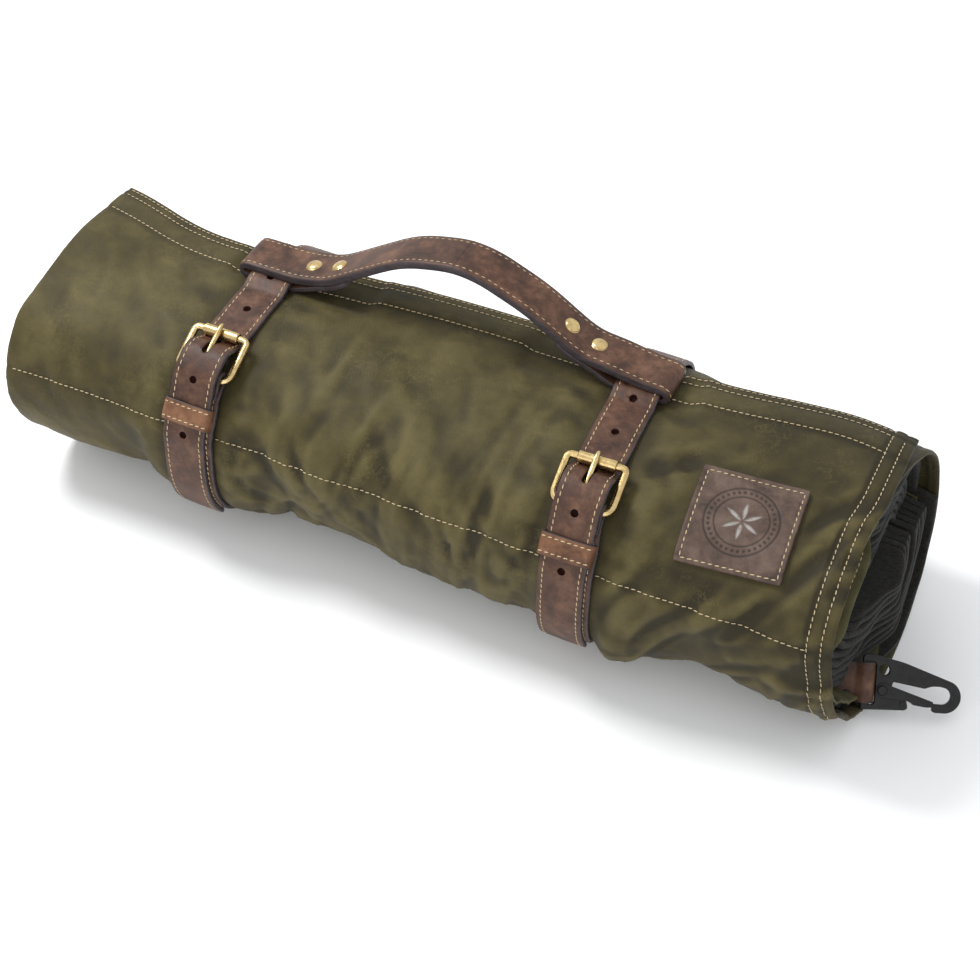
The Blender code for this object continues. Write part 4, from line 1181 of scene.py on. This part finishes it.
def make_keeper(side):
    """A sewn leather band standing round the belt, wrapped on a rounded rectangle."""
    stack = 2 * BELT + GAP + 2 * KEEPER_PLAY + 0.4
    half_x = BELT_WIDTH / 2 + KEEPER_PLAY + KEEPER_LEATHER / 2
    half_z = (stack + KEEPER_LEATHER) / 2
    middle = GAP + KEEPER_LEATHER + KEEPER_PLAY - 0.2 + stack / 2 - 0.4
    loop = []
    for number, (x, arc) in enumerate(corner_points(half_x, half_z, [2.0] * 4, 9)):
        loop += arc
        if number % 2 == 0:
            loop += [(t * (half_x - 2.0) * x, (1 - number) * half_z) for t in np.linspace(1, -1, 16)[1:-1]]
    loop = np.array(loop)
    loop[:, 1] += middle + 0.45 * (1 - (loop[:, 0] / half_x) ** 2) * (loop[:, 1] > 0)
    base, top = on_section(KEEPER_AT), on_section(KEEPER_AT, 1.0)
    outward = Vector((0, *(top - base)))
    place = on_belt(side, frame_on((0, *base), outward.cross(Vector((1, 0, 0))), outward))
    local = side_on(loop)
    tangent = unit(np.roll(local, -1, axis=0) - np.roll(local, 1, axis=0))
    normal = facing(side_on(np.column_stack([tangent[:, 2], -tangent[:, 0]])), local - [0, 0, middle])
    centre, out, across = placed(place, local), turned_by(place, normal), np.array(place.col[1].to_3d())
    profile = rounded_profile(KEEPER_LENGTH, KEEPER_LEATHER, 0.45, crown=0.15)
    finishes = [keeper_leather, edge_paint]
    keeper = sweep("keeper_band_" + side, centre, out, across, profile, finishes, closed=True, rim=0.4)
    sewing = Stitching("keeper_stitches_" + side, 2.5, 0.62, 0.5, 3.3)
    front = np.where((local[:, 2] > middle) & (np.abs(local[:, 0]) < half_x - 0.5))[0]
    front = front[np.argsort(local[front, 0])]
    sewing.two_rows(centre + out * (KEEPER_LEATHER / 2 + 0.12), across, out, KEEPER_LENGTH / 2 - 2.1, front)
    return keeper, sewing.finish()


# ---------------------------------------------------------------- buckles
def turned_shape(name, profile, place, finish, sides=48):
    """A closed profile of (radius, height) points turned about the Z of a frame."""
    angles = np.linspace(0, 2 * math.pi, sides, endpoint=False)
    points = [place @ Vector((r * math.cos(a), r * math.sin(a), h)) for a in angles for r, h in profile]
    index = np.arange(len(points)).reshape(sides, -1)
    ahead = np.roll(index, -1, axis=0)
    faces = np.stack([index, ahead, np.roll(ahead, -1, axis=1), np.roll(index, -1, axis=1)], -1)
    piece = face_outwards(new_object(name, points, faces.reshape(-1, 4).tolist(), [finish], 0), join=True)
    shade_piece(piece, 35)
    return piece


def rounded_loop(half_x, half_y, radii):
    """A rectangle with its own radius at each corner, evenly spaced."""
    points = sum((arc for _, arc in corner_points(half_x, half_y, radii, 12)), [])
    return even_line(points + points[:1], 0.8)[:-1]


def make_buckle(side):
    place = on_belt(side, BUCKLE)
    loop = rounded_loop(RAIL, BAR_TO_BAR / 2, (5.2, 5.2, 2.6, 2.6))
    tangent = unit(np.roll(loop, -1, axis=0) - np.roll(loop, 1, axis=0))
    away = facing(np.column_stack([tangent[:, 1], -tangent[:, 0]]), loop)
    level = np.zeros(len(loop))
    hoop_line = np.column_stack([loop + [0, BAR_TO_BAR / 2], level])
    away = turned_by(place, np.column_stack([away, level]))
    profile = rounded_profile(2 * WIRE - 0.2, 2 * WIRE - 0.5, 1.35, crown=0.12, steps=5)
    up = np.array(place.col[2].to_3d())
    hoop = sweep("buckle_hoop_" + side, placed(place, hoop_line), up, away, profile, [brass], closed=True)

    half = ROLLER_LENGTH / 2
    outer, inner = ROLLER_OUTER, ROLLER_INNER
    shape = [(outer - 0.35, half), (outer, half - 0.4), (outer, 0.4 - half), (outer - 0.35, -half)]
    shape += [(inner, -half), (inner, half)]
    lengthways = place @ Matrix.Rotation(math.radians(90), 4, "Y")
    roller = turned_shape("buckle_tube_" + side, shape, lengthways, brass)

    top = outer + 0.25 + PRONG
    line = arc_points((BAR_TO_BAR, 0), PRONG_RING, -210, 90, 26)
    line += [(BAR_TO_BAR - 5, PRONG_RING + 0.2), (BAR_TO_BAR - 11, top + 0.2), (4, top - 0.1)]
    line += [(0, top + 0.1), (-2.4, top - 0.1), (-PRONG_OVER, top - 0.7)]
    line = even_line(line, 0.7, passes=3)
    arc = arc_length(line)
    left_over = arc[-1] - arc
    narrow, thin = 0.25 * smooth(1 - left_over / 6), 0.3 * smooth(1 - left_over / 4)
    tip = np.sqrt(1 - 0.8 * (1 - np.clip(left_over / 1.2, 0, 1)) ** 2)
    scale = (1 - np.column_stack([narrow, thin])) * tip[:, None]
    angles = np.linspace(0, 2 * math.pi, 22)[:-1]
    oval = np.column_stack([PRONG * np.cos(angles), 0.92 * PRONG * np.sin(angles)])
    centre, out = placed(place, upright(line)), turned_by(place, upright(line_normals(line)))
    prong = sweep("buckle_tongue_" + side, centre, out, np.array(place.col[0].to_3d()), oval, [brass], scale)
    return hoop, roller, prong


# ---------------------------------------------------------------- the handle
# the strap's top side, as distance along the roll and height over the ground
HANDLE_TOP = [
    (-168.7, 127.8), (-160.7, 127.8), (-147.7, 127.9), (-137.7, 128.2), (-128.7, 129.6),
    (-118.7, 132.2), (-110.7, 135.6), (-91.7, 146.6), (-73.7, 156.3), (-55.7, 162),
    (-38.4, 164.8), (-21.2, 162), (-4, 154.4), (13.3, 143.6), (21.9, 138),
    (30.3, 133), (39.3, 129.9), (56, 128.6), (69.3, 128), (87.3, 127.8),
]
HANDLE_MIDDLE = -40.0


def spline(points):
    """A smooth line through the points (Catmull-Rom), evenly spaced."""
    p = np.asarray(points, float)
    p = np.vstack([2 * p[0] - p[1], p, 2 * p[-1] - p[-2]])
    t = np.linspace(0, 1, 12, endpoint=False)[:, None]
    fine = []
    for a, b, c, d in zip(p[:-3], p[1:-2], p[2:-1], p[3:]):
        bend = (2 * a - 5 * b + 4 * c - d) * t**2 + (3 * b - a - 3 * c + d) * t**3
        fine.append(0.5 * (2 * b + (c - a) * t + bend))
    return even_line(np.vstack(fine + [p[-2]]))


def strap_middle():
    top = spline(HANDLE_TOP)
    top[:, 1] += 2.4 * band(top[:, 0], 14, 44, 30)
    return top - line_normals(top) * STRAP / 2


def handle_slip(x):
    """How far the handle's left end has slipped towards the front."""
    return 6.5 * smooth((-60 - np.asarray(x, float)) / 60)


def at_x(path, x):
    order = np.argsort(path[:, 0])
    return np.array([x, np.interp(x, path[order, 0], path[order, 1])])


def loop_path(side, middle):
    """From the arch's middle out to the belt, round it and back under the strap, with thicknesses."""
    sign, join, spare = (-1, JOIN_LEFT, 3.0) if side == "left" else (1, JOIN_RIGHT, 0.8)
    floor = LOOP_FLOOR + TURN_BACK / 2
    middle_of_belt = BELTS[side][0] - math.sin(BELTS[side][1]) * (HANDLE_Y - BELT_PIVOT_Y)
    far = middle_of_belt + sign * (BELT_WIDTH / 2 + spare)
    near = middle_of_belt - sign * (BELT_WIDTH / 2 + 1.0)
    upper = middle[::sign]
    upper = upper[(sign * (upper[:, 0] - HANDLE_MIDDLE) > 0.5) & (sign * (far - upper[:, 0]) > 0)]
    upper = np.vstack([at_x(middle, HANDLE_MIDDLE), upper])
    radius = (upper[-1, 1] - floor) / 2
    turn = [
        (far + sign * x, floor + radius + z) for x, z in arc_points((0, 0), radius, 80, -80, 15)
    ]
    apart = (STRAP + TURN_BACK) / 2 + GAP
    back = []
    for x in np.linspace(near - sign * 16, join + sign * 3, 12):
        low, ahead = at_x(middle, x), at_x(middle, x + 1)
        back.append((x, max(low[1] - apart * math.hypot(1, ahead[1] - low[1]), floor)))
    under = [(far, floor), (middle_of_belt, floor), (near, floor)]
    path = even_line(np.vstack([upper, turn, under, back]), 1.0, 2)
    reach = arc_length(upper)[-1]
    thickness = STRAP + (TURN_BACK - STRAP) * smooth((arc_length(path) - reach + 4) / 12)
    return path, thickness, reach


def make_handle_half(side):
    path, thickness, reach = loop_path(side, strap_middle())
    arc = arc_length(path)
    normal = line_normals(path)
    out = side_on(normal * np.sign(normal[3, 1]))
    wander = 0.5 * soft_noise(path[:, 0] / 38, 0 * arc, 301) * smooth(arc / 20) - handle_slip(path[:, 0])
    centre = side_on(path)
    centre[:, 1] = HANDLE_Y + wander
    profile = rounded_profile(HANDLE_WIDTH, 1.0, 0.3)
    # a padded strap: its upper side swells a little between the stitch rows
    swelling = 1 - (np.abs(profile[:, 0]) / (HANDLE_WIDTH / 2)) ** 4
    profile[:, 1] += 0.13 * swelling * (profile[:, 1] > 0.3)
    tip = np.clip((arc[-1] - arc) / 5, 0, 1)
    width = (1 + 0.012 * soft_noise(arc / 21, 0 * arc, 305)) * (0.6 + 0.4 * np.sqrt(1 - (1 - tip) ** 2))
    scale = np.column_stack([width, thickness])
    strap = sweep(
        "handle_strap_" + side, centre, out, ALONG_Y, profile, [leather, edge_paint], scale, rim=0.3
    )
    sewing = Stitching("handle_stitches_" + side, 2.8, 0.62, 0.5, 3.7)
    top = slice(0, int(np.searchsorted(arc, reach + 9)))
    under = slice(int(np.searchsorted(arc, reach + 22)), len(path) - 4)
    for rows, lift in ((top, 0.16), (under, 0.12)):
        line = centre + out * (thickness / 2 + lift)[:, None]
        sewing.two_rows(line, ALONG_Y, out, HANDLE_WIDTH / 2 - 2.6, rows)
    return strap, sewing.finish()


def make_rivet(number, x):
    """Domed brass head with a rolled rim, on a post down through the strap."""
    middle = strap_middle()
    here, ahead = at_x(middle, x), at_x(middle, x + 1)
    along = Vector((ahead[0] - here[0], 0, ahead[1] - here[1])).normalized()
    out = Vector((-along.z, 0, along.x))
    place = frame_on((here[0], HANDLE_Y - handle_slip(x), here[1]), out.cross(along), out)
    top, foot = STRAP / 2 + 0.32, -STRAP / 2 - 2.6
    dome = [
        (RIVET_HEAD * math.sin(a) * 0.93, top + 0.45 + 1.35 * math.cos(a))
        for a in np.radians(np.linspace(0, 88, 12))
    ]
    rim = [(RIVET_HEAD, top + 0.3), (RIVET_HEAD * 0.97, top), (1.5, top), (1.5, foot), (0, foot)]
    return turned_shape(f"rivet_head_{number}", dome + rim, place, brass)


# ---------------------------------------------------------------- the patch
def rosette(x, y):
    """A chip-carved flower of six petals, and its rings and beads, 1 in the cuts."""
    radius = np.hypot(x, y)
    reach = 11.0
    circles = []
    for k in range(6):
        a = math.radians(60 * k + 30)
        circles.append(reach - np.hypot(x - reach * math.cos(a), y - reach * math.sin(a)))
    petals = np.zeros_like(radius)
    for k in range(6):
        petals = np.maximum(petals, smooth(np.minimum(circles[k], circles[(k + 2) % 6]) / 1.1))
    petals = petals * (radius < reach + 0.3) * (radius > 1.2)
    beads = bump_at(radius, 16.2, 0.75) * smooth(0.5 + 1.4 * np.cos(36 * np.arctan2(y, x)))
    ring = bump_at(radius, 18.6, 0.5) + bump_at(radius, 13.6, 0.4)
    return np.clip(petals, 0, 1), np.clip(ring + beads, 0, 1)


def make_patch():
    half = PATCH_SIZE / 2
    inner_spots = np.arange(-half + 1.1, half - 1, 0.45)
    spots = np.concatenate([[-half, -half + 0.25, -half + 0.6], inner_spots, [half - 0.6, half - 0.25, half]])
    u, v = np.meshgrid(spots, spots, indexing="ij")
    # rounded corners: the outline is drawn in a little where both edges end
    far = [np.clip((distance - half + 3) / 3, 0, 1) for distance in (np.abs(u), np.abs(v))]
    pull = 1 - 0.025 * far[0] * far[1]
    u, v = u * pull, v * pull
    cosine, sine = math.cos(PATCH_TURN), math.sin(PATCH_TURN)
    x, d = PATCH_X + u * cosine - v * sine, PATCH_MIDDLE + u * sine + v * cosine
    points, normal, _ = cloth_surface(x, cloth_distance(x, d))
    for axis in range(3):
        points[..., axis] = blurred(points[..., axis], 12)
    out = surface_normals(points, normal)
    edge = half - np.maximum(np.abs(u), np.abs(v))
    rounding = (1 - np.clip(edge / 0.7, 0, 1)) ** 2
    petals, ring = rosette(u, v)
    top = PATCH_THICK - 0.7 * rounding - 0.3 * petals - 0.35 * ring - 0.25 * bump_at(edge, 3.0, 0.7)
    outer = points + out * (0.35 + top)[..., None]
    inner = points + out * (0.35 + 0.25 * rounding)[..., None]
    marks = {"edge": 1 - np.clip(edge / 8, 0, 1), "painted": petals, "burnt": ring}
    patch = closed_cloth("patch_badge", outer, inner, [patch_leather], u, v, marks)
    sewing = Stitching("patch_stitches", 2.5, 0.65, 0.5, 3.4)
    inset = half - 3.0
    sides = np.linspace(-inset, inset, 60)
    still = np.full(60, inset)
    for line in ((sides, -still), (sides, still), (-still, sides), (still, sides)):
        spot = tuple(np.searchsorted(spots, part) for part in line)
        sewing.row(outer[spot] + out[spot] * 0.2, out[spot])
    return patch, sewing.finish()


# ---------------------------------------------------------------- the snap hook and its tab
def hook_matrix():
    """Local X towards the hook's tip, Y across it, Z out of its flat face."""
    along = Vector((0.92, 0.39, -0.05)).normalized()
    across = Vector((-0.25, 0.68, 0.69))
    across = (across - along * across.dot(along)).normalized()
    return frame_on((219, -29.8 + ROLL_Y, 18.3), across, along.cross(across))


def plate(name, outlines, thickness, bevel, place, finish):
    """Flat outlines, the first one solid and the others holes, with softened edges."""
    curve = bpy.data.curves.new(name, "CURVE")
    curve.dimensions = "2D"
    curve.fill_mode = "BOTH"
    curve.extrude = (thickness / 2 - bevel) * MM
    curve.bevel_depth = bevel * MM
    curve.bevel_resolution = 3
    curve.offset = -bevel * MM
    for outline in outlines:
        line = curve.splines.new("POLY")
        line.points.add(len(outline) - 1)
        for point, (x, y) in zip(line.points, outline):
            point.co = (x * MM, y * MM, 0, 1)
        line.use_cyclic_u = True
    holder = linked(name, curve)
    mesh = settled_mesh(holder)
    bpy.data.objects.remove(holder, do_unlink=True)
    world = place.copy()
    world.translation *= MM
    mesh.transform(world)
    mesh.name = name
    mesh.materials.clear()
    mesh.materials.append(finish)
    piece = face_outwards(linked(name, mesh), join=True)
    shade_piece(piece, 35)
    return piece


def eased(outline):
    """Rounds an outline's corners a little."""
    line = even_line(outline + outline[:1], 0.5)[:-1]
    for _ in range(2):
        line = (np.roll(line, 1, axis=0) + 2 * line + np.roll(line, -1, axis=0)) / 4
    return line


def make_hook():
    place = hook_matrix()
    outline = [(-1.6, -13.2), (-0.6, -14), (3, -13.8), (21.5, -13), (22.8, -11.8), (22, -8.2)]
    outline += [(15, -5.2), (13.6, -2.2), (14.6, 1.2), (31, -1.2), (34.5, 0.2), (38.5, 0.4)]
    outline += arc_points((40.2, -4.3), 4.4, 65, -95, 14)
    outline += [(36.2, -8.6), (35.4, -9.2), (35.2, -12.2), (36.4, -13.2)]
    outline += arc_points((41.2, -4.6), 8.6, -95, 62, 18)
    outline += [(20, 11.4), (5.5, 14.4), (1, 14.8), (-1.2, 14), (-1.6, 12.8)]
    slot = arc_points((3.6, -9.3), 1.9, 180, 360, 9) + arc_points((3.6, 9.3), 1.9, 0, 180, 9)
    eyelet = arc_points((9.6, 7.1), 2.9, 0, 350, 36)
    body = plate("hook_plate", [eased(outline), slot, eyelet], PLATE, 0.45, place, black_steel)
    lever = [(5.4, -4.2), (6.4, -0.8), (9.4, 0.4), (12.5, -0.6), (35.5, -7.6), (35.7, -10.4)]
    lever += [(31, -10.6), (25.5, -9.9), (22.5, -8.1), (9.4, -7.3), (6.4, -6.4)]
    bore = arc_points((8.8, -3.5), 1.9, 0, 350, 30)
    lift = Matrix.Translation((0, 0, PLATE / 2 + 0.3 + 0.5))
    gate = plate("hook_lever", [eased(lever), bore], 1.0, 0.25, place @ lift, black_steel)
    nose = [(24.6, -8.0), (25.4, -5.4), (35.4, -8.2), (35.6, -10.6), (31, -10.6), (25, -9.9)]
    drop = Matrix.Translation((0, 0, 0.1))
    filler = plate("hook_lever_nose", [eased(nose)], PLATE + 0.2, 0.35, place @ drop, black_steel)
    return body, gate, filler


def make_tab():
    """The leather strip folded round the hook's slot bar."""
    place = hook_matrix()
    layers = TAB / 2 + 0.2
    path = [(-TAB_LENGTH, layers), (-10, layers), (-5, layers + 0.3)]
    path += arc_points((0.1, 0), 2.7 + TAB / 2, 118, -118, 21)
    path += [(-5, -layers - 0.3), (-10, -layers), (-TAB_LENGTH, -layers)]
    line = even_line(path, 0.7, passes=2)
    half_way = len(line) // 2
    out = line_normals(line)
    out = out * np.sign((out[half_way] * (line[half_way] - [0.1, 0])).sum())
    profile = rounded_profile(TAB_WIDTH, TAB, 0.6, crown=0.12)
    centre, outward = placed(place, side_on(line)), turned_by(place, side_on(out))
    across = np.array(place.col[1].to_3d())
    return sweep("tab_strap", centre, outward, across, profile, [leather, edge_paint], rim=0.4)


# ---------------------------------------------------------------- building
def settle(pieces, body, slot, *nodes):
    """Rides the pieces on a body and hides the CAD nodes they stand in for; the slot is not used."""
    for piece in pieces:
        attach(piece, body)
    if nodes:
        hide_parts(*nodes)


settle([make_canvas_sheet()], "roll", "canvas", "outer_canvas")
settle([make_canvas_stitches()], "roll", None)
lining, pocket, turns, core, stitches = make_inner_layers()
settle([lining], "roll", "felt", "felt_lining")
settle([pocket], "roll", "inner_canvas", "pocket_canvas")
settle([stitches], "roll", None)
settle([turns, core], "roll", "felt", "rolled_felt_core")

for side in BELTS:
    strap, stitches = make_belt(side)
    settle([strap], "roll", "leather", "belt_" + side)
    settle([stitches], "roll", None)
    keeper, stitches = make_keeper(side)
    settle([keeper], "loose_keeper_" + side, "tan_leather", "keeper_" + side)
    settle([stitches], "loose_keeper_" + side, None)
    hoop, roller, prong = make_buckle(side)
    settle([hoop], "buckle_" + side, "brass", "buckle_frame_" + side)
    settle([roller], "roller_" + side, "brass", "buckle_roller_" + side)
    settle([prong], "prong_" + side, "brass", "buckle_prong_" + side)

for side, start, end in (("left", -106, -56), ("right", 24, -26)):
    strap, stitches = make_handle_half(side)
    for piece in (strap, stitches):
        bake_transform(piece)
    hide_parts("handle_loop_" + side, *(["handle_grip"] if side == "left" else []))
for number, x in RIVETS.items():
    settle([make_rivet(number, x)], "roll", "brass", "handle_rivet_" + number)

patch, stitches = make_patch()
settle([patch], "roll", "leather", "leather_patch")
settle([stitches], "roll", None)

body, gate, nose = make_hook()
settle([body], "snap_hook", "black_steel", "snap_hook_body")
settle([gate, nose], "hook_gate", "black_steel", "snap_hook_gate")
settle([make_tab()], "roll", "leather", "hook_tab")
for node in ("snap_hook_pivot", "snap_hook_spring", "snap_hook_stop_pin", "tab_rivet"):
    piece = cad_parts[node]
    piece.data.materials.clear()
    piece.data.materials.append(black_steel)
    shade_piece(piece, 35)


# ---------------------------------------------------------------- floor, light and camera
def make_floor():
    shade = Shade("pale_floor", roughness=0.85, specular=0.2)
    shade.colour(shade.ramp(shade.noise(400, 2), [(0.3, (0.92, 0.92, 0.92)), (0.7, (0.95, 0.95, 0.945))]))
    mesh = bpy.data.meshes.new("floor")
    shape = bmesh.new()
    bmesh.ops.create_grid(shape, x_segments=4, y_segments=4, size=8)
    shape.to_mesh(mesh)
    shape.free()
    mesh.materials.append(shade.material)
    floor = linked("floor", mesh)


def area_light(name, place, target, size, power):
    light = bpy.data.lights.new(name, "AREA")
    light.shape = "DISK"
    light.size = size
    light.energy = power
    item = linked(name, light)
    item.location = place
    item.rotation_euler = (Vector(target) - Vector(place)).to_track_quat("-Z", "Y").to_euler()


def make_world():
    world = bpy.data.worlds.new("studio")
    bpy.context.scene.world = world
    world.use_nodes = True
    background = world.node_tree.nodes["Background"]
    background.inputs["Color"].default_value = (0.96, 0.98, 1.0, 1)
    background.inputs["Strength"].default_value = 1.0


def make_camera():
    camera = linked("camera", bpy.data.cameras.new("camera"))
    camera.data.lens = 71.89
    camera.data.sensor_width = 36
    camera.data.clip_start = 0.01
    camera.data.clip_end = 40
    camera.location = (0.32165, -0.67783, 0.81174)
    camera.rotation_euler = (math.radians(43.996), 0, math.radians(26.0285))
    bpy.context.scene.camera = camera


make_floor()
make_world()
area_light("key", (-0.85, 0.05, 1.3), (0, 0, 0.05), 0.5, 15)
area_light("front", (0.1, -1.7, 0.7), (0, 0, 0.0), 1.2, 5)
make_camera()
view = bpy.context.scene.view_settings
view.view_transform = "Standard"
view.look = "None"
